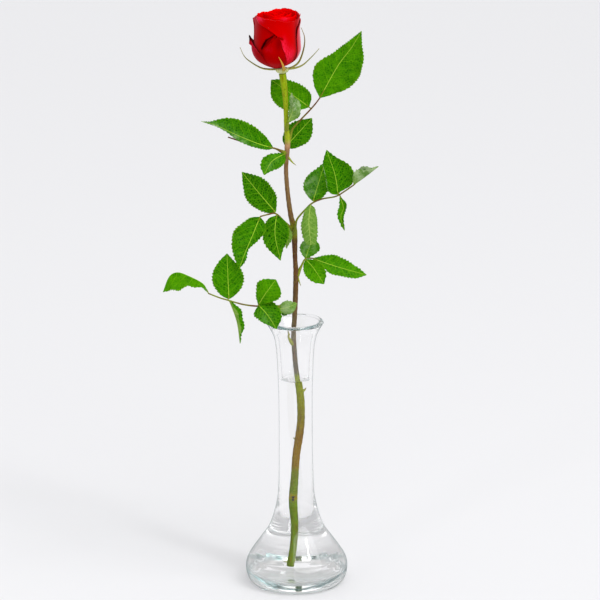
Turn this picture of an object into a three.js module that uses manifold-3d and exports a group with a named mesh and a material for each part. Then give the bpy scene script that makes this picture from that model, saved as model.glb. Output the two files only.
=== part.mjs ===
// A cut red rose standing in a clear glass bud vase that is three quarters full of water.
// Millimetres, +Z up. The origin is the middle of the vase's foot, on the surface it stands on,
// and the viewer stands at -Y, so that "left" is -X and "front" is -Y in the notes below.
import * as THREE from "three";
import { mergeVertices } from "three/addons/utils/BufferGeometryUtils.js";
import Module from "manifold-3d";

const wasm = await Module();
wasm.setup();

// ---------------------------------------------------------------- driving dimensions

const SEAT_GAP = 0.3; // between pieces that touch
const FINEST = 0.02; // slivers thinner than this are smoothed away where pieces join

const VASE_HEIGHT = 200;
const VASE_SEGMENTS = 32;
const RIM_RADIUS = 20.9;
const NECK_RADIUS = 12.4;
const FOOT_RADIUS = 37.4;
const BORE_RADIUS = 9.7;
const CAVITY_FLOOR = 7.5;
const WATER_LEVEL = 156.4;
const WATER_TOP_RADIUS = 10; // of the bore at the water's surface
const VASE_OUTSIDE_STEPS = 20;
const VASE_INSIDE_STEPS = 24;

// Outside, rounded lip and inside of the vase as [radius, height], each from its lowest point up.
const VASE_OUTSIDE = [
  [32.5, 0],
  [35.6, 3.5],
  [FOOT_RADIUS, 10],
  [36.6, 17],
  [32.8, 24],
  [26.5, 33],
  [20.4, 42],
  [16.4, 53],
  [14.0, 64],
  [12.9, 76],
  [NECK_RADIUS, 104],
  [NECK_RADIUS, 140],
  [13.0, 162],
  [13.9, 178],
  [15.6, 188],
  [RIM_RADIUS - 2.0, 195],
  [RIM_RADIUS, VASE_HEIGHT - 1.9],
];
const VASE_LIP = [
  [RIM_RADIUS - 0.7, VASE_HEIGHT - 0.5],
  [RIM_RADIUS - 1.8, VASE_HEIGHT],
  [RIM_RADIUS - 2.9, VASE_HEIGHT - 0.4],
];
const VASE_INSIDE = [
  [25.5, CAVITY_FLOOR],
  [30.6, 10],
  [31.6, 15],
  [28.6, 23],
  [22.6, 32],
  [16.9, 41.5],
  [13.3, 52],
  [11.2, 63],
  [10.2, 75],
  [BORE_RADIUS, 104],
  [BORE_RADIUS, 140],
  [WATER_TOP_RADIUS, WATER_LEVEL],
  [11.0, 176],
  [11.9, 186],
  [13.5, 192],
  [15.7, 195.8],
  [17.7, VASE_HEIGHT - 1.7],
];

// The stem's centre line as [x, height, radius]. Thick spots are its nodes.
const STEM = [
  [-3.6, 8.6, 2.2],
  [-1.8, 24, 2.1],
  [-1.0, 42, 2.1],
  [-1.7, 62, 2.4],
  [-0.7, 82, 2.1],
  [0.2, 98, 2.1],
  [1.9, 113, 2.2],
  [2.9, 126, 2.1],
  [2.7, 142, 2.1],
  [1.4, 156, 1.9],
  [0.0, 169, 1.8],
  [-1.1, 190, 1.8],
  [-0.4, 200, 1.8],
  [0.4, 216, 1.9],
  [0.9, 235, 1.9],
  [0.4, 247, 1.7],
  [-0.2, 268, 2.3],
  [-2.3, 278, 1.9],
  [-4.1, 291, 1.7],
  [-5.4, 306, 1.6],
  [-5.6, 316, 1.6],
  [-4.9, 325, 1.8],
  [-4.4, 335, 2.1],
  [-5.2, 345, 1.7],
  [-5.4, 356, 1.7],
  [-5.8, 367, 2.0],
  [-6.7, 376.5, 2.4],
  [-7.7, 383.9, 2.7],
];
const STEM_STEPS = 40;
const STEM_SIDES = 8;
// Thorns and stubs on the stem: [foot, tip, foot radius].
const THORNS = [
  [[-3.2, 0, 12], [-8.2, 0, 12.8], 0.9],
  [[1.6, 0, 111], [-1.4, 0, 111.5], 1.3],
  [[2.6, 0, 147], [5.9, 0, 149.5], 1.3],
  [[-1.2, 0, 183], [-5.4, -1.5, 192], 1.2],
  [[1.6, 0, 236], [4.6, -1, 226], 0.7],
  [[-5, 0, 324], [1.8, -3.5, 317], 0.8],
];

const THORN_TAPER = 0.85;

const HIP_CENTRE = [-8, 0];
const HIP_PROFILE = [
  [2.9, 384.6],
  [4.4, 385.8],
  [4.9, 387.2],
  [4.3, 388.2],
];
const SEPAL_WIDTH = 3.4;
const SEPAL_THICKNESS = 0.9;
const SEPAL_TAPER = 0.75;
const SEPAL_STEPS = 8;
// Each sepal runs out from the hip along [distance from its axis, height]; turn is in degrees
// from the right (+X) by way of the front (-Y).
const SEPALS = [
  {
    turn: 180,
    path: [[3, 386.9], [10, 387.0], [15.7, 388.4], [23, 393], [27, 397], [29.9, 403.5]],
  },
  {
    turn: 2,
    path: [[3, 386.9], [10, 388], [15, 390.2], [19.4, 394.2], [23.7, 398.8], [26.8, 402.5]],
  },
  {
    turn: 96,
    path: [[3, 386.6], [8, 388.2], [12.5, 391.5], [16, 396], [18.5, 400.3]],
  },
  {
    turn: -35,
    path: [[3, 386.9], [10, 387.6], [15.5, 391], [19.4, 400], [20, 408], [17, 415.5]],
  },
  {
    turn: 245,
    path: [[3, 386.9], [10, 387.2], [16, 389], [22, 394], [26, 399.5]],
  },
];

const BLOOM_CENTRE = [-12, 0];
const BLOOM_BASE = 388.5;
const BLOOM_HEIGHT = 41.6;
const BLOOM_LEAN = 0.6; // how far the bloom's top stands to the right of its base
const PETAL_THICKNESS = 0.9;
const PETAL_ROWS = 6;
const PETAL_COLUMNS = 5;
const PETAL_CORNER_DROP = 0.1; // how far a petal's top corners fall below its middle, of its reach
const PETAL_ROLL_POWER = 6; // keeps the outward roll near the rim
const PETAL_SPIRAL = 0.35; // one side edge stands this much further out, and the other further in
// The bud's closed heart, which the petals grow out of, as [radius, share of the bloom's height].
const CORE = [[5.5, 0], [8.8, 0.05], [11.6, 0.13], [12.6, 0.3], [11, 0.55], [7.5, 0.78], [2, 0.84]];
const CORE_SIDES = 12;
// Radius of the fullest petal, and a petal's width as a share of its span, up their heights.
const BULGE_AT = [0, 0.06, 0.15, 0.3, 0.45, 0.6, 0.8, 1];
const BULGE_RADIUS = [3, 8.6, 13.8, 16.9, 16.9, 16.4, 16, 16.4];
const PETAL_WIDTH_AT = [0, 0.12, 0.35, 0.6, 0.85, 1];
const PETAL_WIDTH = [0.7, 0.75, 0.95, 1, 0.85, 0.55];
// turn and span in degrees, reach as a share of the bloom's height, size as a share of the
// bulge, shear as the turn gained from base to top, flare as the rim's outward roll.
const PETALS = [
  { turn: 52, span: 150, reach: 1.0, size: 1.0, shear: 52, flare: 1.2 },
  { turn: 142, span: 125, reach: 0.94, size: 0.97, shear: 10, flare: 0.8 },
  { turn: 112, span: 80, reach: 0.66, size: 1.02, shear: 14, flare: 0 },
  { turn: 176, span: 85, reach: 0.6, size: 1.07, shear: -6, flare: 2.2 },
  { turn: -8, span: 80, reach: 0.84, size: 1.05, shear: 0, flare: 0.6 },
  { turn: 232, span: 120, reach: 0.93, size: 0.97, shear: 10, flare: 1.2 },
  { turn: -60, span: 130, reach: 0.98, size: 0.92, shear: 20, flare: 1.4 },
  { turn: 20, span: 150, reach: 0.97, size: 0.78, shear: 30, flare: 0.4 },
  { turn: 150, span: 150, reach: 0.99, size: 0.7, shear: 30, flare: 0.4 },
  { turn: 265, span: 150, reach: 0.97, size: 0.72, shear: 30, flare: 0.4 },
  { turn: 80, span: 170, reach: 0.98, size: 0.48, shear: 30, flare: 0 },
  { turn: 250, span: 170, reach: 0.96, size: 0.42, shear: 30, flare: 0 },
];

const BLADE_THICKNESS = 0.8;
const TOOTH_PITCH = 6;
const TOOTH_DEPTH = 0.06; // of the half-width
const FEWEST_TEETH = 4;
const STALK_BASE_RADIUS = 1.2;
const STALK_END_RADIUS = 0.75;
const STALK_SIDES = 6;
const STALK_SPOTS = 60; // places along a leaf's stalk where a leaflet may branch off
const LEAFLET_STALK_RADIUS = 0.75;
const LEAFLET_STALK_SIDES = 4;
const RIB_OVERLAP = 0.12; // share of a leaflet's rib that its stalk runs on into
// A leaflet's half-widths are given at these shares of its length, between its base and its tip.
const LEAFLET_AT = [0, 0.07, 0.22, 0.42, 0.62, 0.82, 1];
const LEAFLET_BASE = 0.6;
const LEAFLET_TIP = 0.3;
// Each leaf has its stalk's points, out from the stem, and its leaflets: the points of the rib, the
// way the upper face looks, the half-widths on the left and right of the rib as seen from above with
// the base below, and the fold in degrees by which both halves rise from the rib.
const LEAVES = {
  leaf_small_top: {
    stalk: [[-5.2, -1, 343], [-4.4, -3, 346.5], [-4.0, -4, 348.6]],
    leaflets: [
      {
        rib: [[-4, -4, 348.6], [-0.3, -6.5, 359.4], [-1.3, -9, 372]],
        face: [0.3, 1, -0.1],
        left: [1.5, 4.5, 6.2, 5, 2.6],
        right: [1.2, 2.5, 3.2, 3.2, 2.2],
        fold: 20,
      },
    ],
  },
  leaf_top_right: {
    stalk: [
      [-4.2, 1, 333],
      [-2.2, 2.5, 338],
      [-0.6, 3.5, 342.5],
      [5, 5, 348.6],
      [11.4, 6.5, 355],
      [15.9, 6.5, 360.2],
      [19.2, 6, 364.8],
    ],
    leaflets: [
      {
        rib: [[19.2, 6, 364.8], [32, 2.5, 388.7], [42, -0.5, 403], [49, -3, 415.4]],
        face: [-0.1, -1, 0.25],
        left: [8, 14.3, 8.5, 6, 3],
        right: [6, 15.5, 17.5, 13, 5],
        fold: 8,
      },
      {
        rib: [[11.2, 8, 357.4], [-2.4, 11.5, 367], [-16, 14, 376.2]],
        face: [0.1, -1, 0.3],
        left: [4, 10, 13, 13, 9.5],
        right: [6.5, 9.5, 9.5, 8, 5],
        fold: 12,
      },
    ],
  },
  leaf_back: {
    stalk: [[-4.8, 1, 326], [-5.4, 4, 327], [-5.9, 7, 328.3]],
    leaflets: [
      {
        rib: [[-5.9, 7, 328.3], [3.9, 10.5, 338.3], [13.3, 13, 348]],
        face: [0, -1, 0.2],
        left: [5, 7.8, 9, 7.8, 4],
        right: [4.5, 7.3, 9.5, 9, 5.5],
        fold: 10,
      },
    ],
  },
  leaf_upper_left: {
    stalk: [
      [-5.5, 0, 325],
      [-9.9, -3, 327.9],
      [-14.9, -7, 330.9],
      [-31.4, -8, 334.3],
      [-47.1, -8.5, 339.5],
    ],
    leaflets: [
      {
        rib: [
          [-14.9, -7, 330.9],
          [-26.3, -10, 335.2],
          [-42, -14, 343],
          [-56, -17, 350.6],
          [-66, -19, 353.8],
        ],
        face: [-0.1, -1, 0.4],
        left: [3, 4.5, 5.2, 2.5, 1.5],
        right: [3.5, 8, 11.3, 9.5, 1.8],
        fold: 15,
      },
      {
        rib: [[-6.6, -5, 326], [-15.7, -8, 321.2], [-21.5, -11, 311.9]],
        face: [0, -1, 0.6],
        left: [4.5, 7, 7.7, 7, 3],
        right: [1.5, 3.2, 5.2, 6.5, 5],
        fold: 10,
      },
    ],
  },
  leaf_mid_left: {
    stalk: [
      [-0.8, 0, 267.5],
      [-3.8, -2.5, 271.5],
      [-7.4, -5, 276],
      [-13.2, -10, 282.9],
      [-18.8, -14, 283.4],
      [-24.3, -18, 283],
    ],
    leaflets: [
      {
        rib: [[-13.4, -10, 284], [-25.5, -15, 300], [-37.2, -20, 316.5]],
        face: [0, -1, 0.25],
        left: [4, 7.5, 10, 9.5, 5],
        right: [3, 8, 9.8, 9.8, 6],
        fold: 10,
      },
      {
        rib: [[-24.6, -18, 282.6], [-29.6, -22, 271], [-35, -27, 259.5], [-39.9, -32, 247.8]],
        face: [0, -1, 0.3],
        left: [5, 7.5, 5, 1.6, 2.6],
        right: [6, 10.2, 13.8, 12, 7],
        fold: 10,
      },
      {
        rib: [[-12.8, -11, 281.8], [-13.9, -14, 268], [-10.1, -17, 249.8]],
        face: [0.1, -1, 0.3],
        left: [5, 9.3, 10.5, 9.5, 3.5],
        right: [4.7, 7.5, 9, 9, 5],
        fold: 10,
      },
      {
        rib: [[-4.2, -4, 271.6], [-4.6, -6.5, 263.9], [-5.7, -8, 256.3]],
        face: [0.3, 1, 0],
        left: [1, 3, 3.8, 3.4, 2],
        right: [1, 2.4, 3, 2.6, 1.2],
        fold: 10,
      },
    ],
  },
  leaf_mid_right: {
    stalk: [
      [0, -1, 265.5],
      [1, -4.5, 273],
      [2.4, -6, 278.1],
      [7.8, -8, 285],
      [13.3, -10, 290.7],
      [20.5, -12, 294.2],
      [30, -16, 297],
      [36.6, -19, 301.7],
      [43, -22, 307],
    ],
    leaflets: [
      {
        rib: [[43, -22, 307.3], [51.6, -25, 314.2], [60.5, -28, 321.9]],
        face: [-0.5, 0.1, 1],
        left: [3, 8, 9, 6, 2.5],
        right: [3, 8, 9, 6, 2.5],
        fold: 55,
      },
      {
        rib: [[31.6, -17, 298.6], [29.5, -19, 313.6], [23.5, -19, 332.1]],
        face: [0.1, -1, 0.2],
        left: [5.5, 9, 9.3, 8.8, 7.2],
        right: [2, 10.3, 13.7, 12, 5],
        fold: 10,
      },
      {
        rib: [[13.6, -10, 292], [18, -9, 306], [22.4, -6, 320]],
        face: [-0.2, -1, 0.2],
        left: [4.4, 9, 10.3, 8.3, 4],
        right: [4, 7, 8.6, 8, 5],
        fold: 10,
      },
      {
        rib: [[33.2, -17, 297.4], [35.5, -18, 288.9], [33.6, -20, 282.7], [36.1, -22, 273.2]],
        face: [-0.5, -1, 0.3],
        left: [1.5, 4.5, 3.5, 3.5, 2.5],
        right: [1.2, 3, 3.8, 2.8, 1.8],
        fold: 20,
      },
      {
        rib: [[11.8, -10.5, 289.4], [10.6, -15, 277.8], [12, -17, 261.2]],
        face: [0.2, 1, -0.2],
        left: [1.3, 2.8, 4.2, 5, 4.6],
        right: [2.6, 3.8, 5.8, 5.3, 4.4],
        fold: 10,
      },
    ],
  },
  leaf_low_right: {
    stalk: [[1.6, 0, 233.5], [4.7, 3, 239.6], [8, 6, 244.7], [13.4, 9, 244.2]],
    leaflets: [
      {
        rib: [[8, 6, 245], [10.6, 9, 252], [13.5, 10, 260]],
        face: [0, -1, 0.5],
        left: [2.5, 5.2, 6.6, 6.3, 4.2],
        right: [2, 4.6, 7, 8, 6],
        fold: 10,
      },
      {
        rib: [[8.2, 6, 244.1], [13.7, 4.5, 238.1], [21.3, 1, 226.9]],
        face: [0, -1, 0.3],
        left: [1.8, 3.6, 5.6, 6.9, 5.4],
        right: [3.4, 6, 7.6, 7.9, 5.9],
        fold: 10,
      },
      {
        rib: [[13.4, 9, 243.9], [31.6, 12.5, 236.5], [52.5, 16, 229.4]],
        face: [0.1, -1, 0.6],
        left: [2.2, 5.7, 7.9, 6.6, 3.9],
        right: [2, 4.5, 7.1, 6.3, 5.2],
        fold: 10,
      },
    ],
  },
  leaf_low_left: {
    stalk: [
      [0, 0, 209.5],
      [-4.5, -5, 212.2],
      [-10.8, -10, 213.7],
      [-18, -15, 215.2],
      [-28.1, -20, 216.6],
      [-38, -24, 219.2],
      [-47.4, -28, 223.2],
      [-54.5, -30, 226],
      [-62, -32, 229.7],
    ],
    leaflets: [
      {
        rib: [
          [-62, -32, 229.7],
          [-65.8, -33, 237.2],
          [-76, -35, 243.6],
          [-84, -36, 246.6],
          [-90, -37, 243.6],
          [-94.5, -38, 232.7],
        ],
        face: [-0.1, -0.35, 1],
        left: [2.5, 6.2, 11.2, 13, 7],
        right: [2, 5, 8.5, 9.5, 5],
        fold: -60,
      },
      {
        rib: [[-47.4, -28, 224.3], [-48, -27, 241], [-48.5, -25, 257.5]],
        face: [0, -1, 0.2],
        left: [4.6, 9, 11.5, 10.6, 6.6],
        right: [4.2, 9, 11.6, 10.4, 5.4],
        fold: 8,
      },
      {
        rib: [[-46.8, -28, 222.8], [-41.7, -31, 207.9], [-39.7, -32, 192]],
        face: [1, -0.55, 0.4],
        left: [2, 4.4, 5, 4.2, 2.2],
        right: [2, 4.4, 5, 4.2, 2.2],
        fold: 50,
      },
      {
        rib: [[-26.2, -20, 217.5], [-20.7, -24, 227.5], [-13.4, -24, 237.5]],
        face: [0, -1, 0.5],
        left: [2, 4.5, 7.4, 9.4, 6.7],
        right: [1.6, 4.2, 7.7, 10.5, 8.8],
        fold: 10,
      },
      {
        rib: [[-26, -21, 217.4], [-19.7, -27, 211.8], [-13.3, -30, 202.1]],
        face: [0, -1, 0.5],
        left: [3.8, 8.4, 9.7, 9.6, 7],
        right: [4.3, 8, 7.6, 6.4, 3],
        fold: 10,
      },
      {
        rib: [[-12, -11, 211.5], [-5, -11, 213], [1.6, -9, 215.2]],
        face: [0.2, 1, -0.3],
        left: [2, 4, 5, 5, 3],
        right: [2, 4, 5, 5, 3],
        fold: 10,
      },
      {
        rib: [[-12, -10.5, 213.6], [-7.2, -8, 211.4], [-2.5, -5.5, 207.9]],
        face: [0, -1, 0.3],
        left: [1.5, 3.5, 5, 5, 3.5],
        right: [1.5, 4, 5.5, 5.5, 3.5],
        fold: 10,
      },
    ],
  },
};

const COLOURS = {
  glass: 0xdfecea,
  water: 0xeef5f2,
  stem: 0x6b5a35,
  calyx: 0x8a9a45,
  petal: 0xb80812,
  leaf: 0x3f7d16,
};

// ---------------------------------------------------------------- curves and solids

function vector([x, y, z]) {
  return new THREE.Vector3(x, y, z);
}

function curveThrough(points) {
  return new THREE.CatmullRomCurve3(points.map(vector), false, "catmullrom", 0.5);
}

// A smooth value between those given at rising positions.
function smoothValue(positions, values, at) {
  const last = positions.length - 1;
  let i = 0;
  while (i < last - 1 && at > positions[i + 1]) i += 1;
  const slope = (k) => {
    const before = Math.max(k - 1, 0);
    const after = Math.min(k + 1, last);
    return (values[after] - values[before]) / (positions[after] - positions[before]);
  };
  const step = positions[i + 1] - positions[i];
  const t = (at - positions[i]) / step;
  const rest = 1 - t;
  return (
    (1 + 2 * t) * rest * rest * values[i] +
    t * rest * rest * step * slope(i) +
    t * t * (3 - 2 * t) * values[i + 1] -
    t * t * rest * step * slope(i + 1)
  );
}

function solidFrom(vertices, triangles) {
  const mesh = new wasm.Mesh({
    numProp: 3,
    vertProperties: new Float32Array(vertices.flatMap((v) => [v.x, v.y, v.z])),
    triVerts: new Uint32Array(triangles.flat()),
  });
  return new wasm.Manifold(mesh);
}

// A closed solid through sections of equal, even length. A section lists one face's points and then
// the other face's points back again, and both faces are split into triangles alike.
function loft(sections) {
  const size = sections[0].length;
  const triangles = [];
  const at = (s, k) => s * size + (k % size);
  for (let s = 0; s + 1 < sections.length; s += 1) {
    for (let k = 0; k < size; k += 1) {
      const [a, b, c, d] = [at(s, k), at(s, k + 1), at(s + 1, k + 1), at(s + 1, k)];
      if (k < size / 2) triangles.push([a, b, c], [a, c, d]);
      else triangles.push([a, b, d], [b, c, d]);
    }
  }
  const end = sections.length - 1;
  for (let k = 0; k + 1 < size / 2; k += 1) {
    const across = size - 1 - k;
    triangles.push([k, across, across - 1], [k, across - 1, k + 1]);
    const [a, b, c, d] = [at(end, k), at(end, k + 1), at(end, across - 1), at(end, across)];
    triangles.push([a, b, c], [a, c, d]);
  }
  return solidFrom(sections.flat(), triangles);
}

// A round bar along a curve, with its radius given by a function of the share of the way along.
function bar(curve, radiusAt, steps, sides) {
  const frames = curve.computeFrenetFrames(steps, false);
  const sections = [];
  for (let s = 0; s <= steps; s += 1) {
    const centre = curve.getPointAt(s / steps);
    const section = [];
    for (let k = 0; k < sides; k += 1) {
      const angle = (2 * Math.PI * (k + 0.5)) / sides;
      section.push(
        centre
          .clone()
          .addScaledVector(frames.normals[s], radiusAt(s / steps) * Math.cos(angle))
          .addScaledVector(frames.binormals[s], radiusAt(s / steps) * Math.sin(angle)),
      );
    }
    sections.push(section);
  }
  return loft(sections);
}

function spike(foot, tip, radius) {
  const curve = curveThrough([foot, tip]);
  return bar(curve, (t) => radius * (1 - THORN_TAPER * t), 1, STALK_SIDES);
}

// A solid turned round the Z axis from [radius, height] points, run up the outside.
function turned(profile) {
  const points = profile.map(([radius, height]) => new THREE.Vector2(radius, height));
  const lathe = new THREE.LatheGeometry(points, VASE_SEGMENTS);
  lathe.rotateX(Math.PI / 2);
  lathe.deleteAttribute("normal");
  lathe.deleteAttribute("uv");
  const merged = mergeVertices(lathe, 1e-4);
  const mesh = new wasm.Mesh({
    numProp: 3,
    vertProperties: merged.attributes.position.array,
    triVerts: new Uint32Array(merged.index.array),
  });
  return new wasm.Manifold(mesh);
}

function smoothProfile(points, steps) {
  const curve = new THREE.SplineCurve(points.map(([r, z]) => new THREE.Vector2(r, z)));
  return curve.getPoints(steps).map((p) => [p.x, p.y]);
}

function joined(solids) {
  return solids.reduce((whole, piece) => whole.add(piece));
}

// The largest body of a solid: loose scraps that a cut leaves are dropped.
function largest(solid) {
  return solid.decompose().reduce((a, b) => (a.volume() > b.volume() ? a : b));
}

// ---------------------------------------------------------------- vase and water

function cavityProfile(inset) {
  return smoothProfile(VASE_INSIDE, VASE_INSIDE_STEPS).map(([r, z]) => [r - inset, z]);
}

function vase() {
  const outside = smoothProfile(VASE_OUTSIDE, VASE_OUTSIDE_STEPS);
  const inside = cavityProfile(0);
  return turned([[0, 0], ...outside, ...VASE_LIP, ...inside.reverse(), [0, CAVITY_FLOOR]]);
}

function water(stemSolid) {
  const sides = cavityProfile(SEAT_GAP)
    .filter(([, height]) => height < WATER_LEVEL - SEAT_GAP)
    .map(([radius, height]) => [radius, Math.max(height, CAVITY_FLOOR + SEAT_GAP)]);
  const top = WATER_TOP_RADIUS - SEAT_GAP;
  const body = turned([[0, CAVITY_FLOOR + SEAT_GAP], ...sides, [top, WATER_LEVEL], [0, WATER_LEVEL]]);
  return body.subtract(stemSolid);
}

// ---------------------------------------------------------------- stem

// The stem, or with growth the plain hole that it stands in.
function stem(growth) {
  const curve = curveThrough(STEM.map(([x, z], i) => [x, 0, i ? z : z - growth]));
  const heights = STEM.map(([, z]) => z);
  const radii = STEM.map(([, , radius]) => radius);
  const radiusAt = (t) => smoothValue(heights, radii, curve.getPointAt(t).z) + growth;
  const cane = bar(curve, radiusAt, STEM_STEPS, STEM_SIDES);
  const thorns = THORNS.map(([foot, tip, radius]) => {
    const longer = vector(tip).sub(vector(foot)).setLength(growth);
    return spike(foot, longer.add(vector(tip)).toArray(), radius + growth);
  });
  return joined([cane, ...thorns]);
}

// ---------------------------------------------------------------- calyx

function aroundHip(turn, distance, height) {
  const angle = THREE.MathUtils.degToRad(turn);
  return [HIP_CENTRE[0] + distance * Math.cos(angle), HIP_CENTRE[1] - distance * Math.sin(angle), height];
}

function sepal({ turn, path }) {
  const curve = curveThrough(path.map(([distance, height]) => aroundHip(turn, distance, height)));
  const side = vector(aroundHip(turn + 90, 1, 0)).sub(vector(aroundHip(turn, 0, 0)));
  const sections = [];
  for (let s = 0; s <= SEPAL_STEPS; s += 1) {
    const t = s / SEPAL_STEPS;
    const centre = curve.getPointAt(t);
    const up = new THREE.Vector3().crossVectors(side, curve.getTangentAt(t)).normalize();
    const half = (SEPAL_WIDTH / 2) * (1 - SEPAL_TAPER * t);
    const thick = SEPAL_THICKNESS / 2;
    const corner = (across, rise) =>
      centre.clone().addScaledVector(side, across * half).addScaledVector(up, rise * thick);
    sections.push([corner(-1, 1), corner(1, 1), corner(1, -1), corner(-1, -1)]);
  }
  return loft(sections);
}

function calyx() {
  const bottom = HIP_PROFILE[0][1];
  const top = HIP_PROFILE[HIP_PROFILE.length - 1][1];
  const hip = turned([[0, bottom], ...HIP_PROFILE, [0, top]]).translate([...HIP_CENTRE, 0]);
  return joined([hip, ...SEPALS.map(sepal)]);
}

// ---------------------------------------------------------------- bloom

function bloomPoint(turn, radius, share) {
  const angle = THREE.MathUtils.degToRad(turn);
  return new THREE.Vector3(
    BLOOM_CENTRE[0] + BLOOM_LEAN * share + radius * Math.cos(angle),
    BLOOM_CENTRE[1] - radius * Math.sin(angle),
    BLOOM_BASE + BLOOM_HEIGHT * share,
  );
}

function petal({ turn, span, reach, size, shear, flare }) {
  const sections = [];
  for (let row = 0; row <= PETAL_ROWS; row += 1) {
    const up = row / PETAL_ROWS;
    const half = (span / 2) * smoothValue(PETAL_WIDTH_AT, PETAL_WIDTH, up);
    const point = (across, depth) => {
      const share = reach * up * (1 - PETAL_CORNER_DROP * up * across * across);
      const roll = flare * up ** PETAL_ROLL_POWER;
      const spiral = PETAL_SPIRAL * across;
      const radius = size * smoothValue(BULGE_AT, BULGE_RADIUS, share) + roll + spiral - depth;
      return bloomPoint(turn + shear * (up - 0.5) + across * half, radius, share);
    };
    const shares = Array.from({ length: PETAL_COLUMNS + 1 }, (_, k) => 1 - (2 * k) / PETAL_COLUMNS);
    const outer = shares.map((across) => point(across, 0));
    const inner = shares.map((across) => point(across, PETAL_THICKNESS)).reverse();
    sections.push([...outer, ...inner]);
  }
  return loft(sections);
}

function bloom() {
  const turns = Array.from({ length: CORE_SIDES }, (_, k) => (-360 * (k + 0.5)) / CORE_SIDES);
  const core = CORE.map(([radius, share]) => turns.map((turn) => bloomPoint(turn, radius, share)));
  return joined([loft(core), ...PETALS.map(petal)]);
}

// ---------------------------------------------------------------- leaves

function leaflet({ rib, face, left, right, fold }) {
  const curve = curveThrough(rib);
  const rise = THREE.MathUtils.degToRad(fold);
  const teeth = Math.max(FEWEST_TEETH, Math.round(curve.getLength() / TOOTH_PITCH));
  const rows = 2 * teeth;
  const sections = [];
  for (let row = 0; row <= rows; row += 1) {
    const t = row / rows;
    const centre = curve.getPoint(t);
    const along = curve.getTangent(t);
    const normal = vector(face).projectOnPlane(along).normalize();
    const side = new THREE.Vector3().crossVectors(normal, along);
    const tooth = row % 2 ? 1 + TOOTH_DEPTH : 1 - TOOTH_DEPTH;
    const widths = [right, left].map(
      (half) => tooth * smoothValue(LEAFLET_AT, [LEAFLET_BASE, ...half, LEAFLET_TIP], t),
    );
    const point = (across, depth) => {
      const width = across < 0 ? widths[0] : widths[1];
      return centre
        .clone()
        .addScaledVector(side, across * width * Math.cos(rise))
        .addScaledVector(normal, Math.abs(across) * width * Math.sin(rise) - depth);
    };
    const half = BLADE_THICKNESS / 2;
    sections.push([
      ...[1, 0, -1].map((across) => point(across, -half)),
      ...[-1, 0, 1].map((across) => point(across, half)),
    ]);
  }
  return loft(sections);
}

// The short stalk that carries a leaflet, from the leaf's stalk into the leaflet's rib.
function leafletStalk(stalk, { rib }) {
  const base = vector(rib[0]);
  const spots = stalk.getSpacedPoints(STALK_SPOTS);
  const nearest = spots.reduce((a, b) => (base.distanceTo(a) < base.distanceTo(b) ? a : b));
  const inside = curveThrough(rib).getPoint(RIB_OVERLAP);
  const apart = base.distanceTo(nearest) > 2 * LEAFLET_STALK_RADIUS;
  const points = apart ? [nearest, base, inside] : [nearest, inside];
  const curve = new THREE.CatmullRomCurve3(points, false, "catmullrom", 0.5);
  return bar(curve, () => LEAFLET_STALK_RADIUS, 2, LEAFLET_STALK_SIDES);
}

function leaf({ stalk, leaflets }, stemHole) {
  const curve = curveThrough(stalk);
  const radiusAt = (t) => STALK_BASE_RADIUS + (STALK_END_RADIUS - STALK_BASE_RADIUS) * t;
  const rachis = bar(curve, radiusAt, 2 * stalk.length - 2, STALK_SIDES);
  const stalks = leaflets.map((one) => leafletStalk(curve, one));
  return joined([rachis, ...stalks, ...leaflets.map(leaflet)]).subtract(stemHole);
}

// ---------------------------------------------------------------- the part

function meshOf(name, solid, material) {
  const { vertProperties, triVerts } = largest(solid.simplify(FINEST)).getMesh();
  const geometry = new THREE.BufferGeometry();
  geometry.setAttribute("position", new THREE.BufferAttribute(new Float32Array(vertProperties), 3));
  geometry.setIndex(new THREE.BufferAttribute(new Uint32Array(triVerts), 1));
  geometry.computeVertexNormals();
  const mesh = new THREE.Mesh(geometry, new THREE.MeshStandardMaterial(material));
  mesh.name = name;
  return mesh;
}

const stemSolid = stem(0);
const stemHole = stem(SEAT_GAP);
const clear = { roughness: 0.02, metalness: 0, transparent: true };

const group = new THREE.Group();
group.name = "rose_in_bud_vase";
group.add(
  meshOf("vase", vase(), { color: COLOURS.glass, opacity: 0.35, ...clear }),
  meshOf("water", water(stemHole), { color: COLOURS.water, opacity: 0.3, ...clear }),
  meshOf("stem", stemSolid, { color: COLOURS.stem, roughness: 0.6, metalness: 0 }),
  meshOf("calyx", calyx(), { color: COLOURS.calyx, roughness: 0.6, metalness: 0 }),
  meshOf("bloom", bloom(), { color: COLOURS.petal, roughness: 0.55, metalness: 0 }),
);
for (const [name, spec] of Object.entries(LEAVES)) {
  group.add(meshOf(name, leaf(spec, stemHole), { color: COLOURS.leaf, roughness: 0.5, metalness: 0 }));
}

export default group;
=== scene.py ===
"""A cut red rose in a clear glass bud vase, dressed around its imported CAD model."""
import math

import bpy
import numpy as np
from mathutils import Matrix, Vector


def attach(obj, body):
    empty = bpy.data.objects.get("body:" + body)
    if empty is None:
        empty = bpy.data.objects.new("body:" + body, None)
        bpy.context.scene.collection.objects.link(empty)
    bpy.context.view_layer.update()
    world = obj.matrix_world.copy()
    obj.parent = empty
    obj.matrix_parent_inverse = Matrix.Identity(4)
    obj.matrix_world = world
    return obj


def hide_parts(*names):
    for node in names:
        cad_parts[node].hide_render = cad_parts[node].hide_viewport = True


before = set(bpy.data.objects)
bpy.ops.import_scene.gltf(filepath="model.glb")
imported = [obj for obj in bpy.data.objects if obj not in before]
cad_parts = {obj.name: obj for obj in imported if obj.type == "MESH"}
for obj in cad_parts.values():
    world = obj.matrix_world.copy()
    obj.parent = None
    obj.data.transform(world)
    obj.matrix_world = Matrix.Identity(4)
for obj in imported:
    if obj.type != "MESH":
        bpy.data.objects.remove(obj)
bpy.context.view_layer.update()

MM = 0.001
FULL_TURN = 2 * math.pi


# ---- curves

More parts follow.
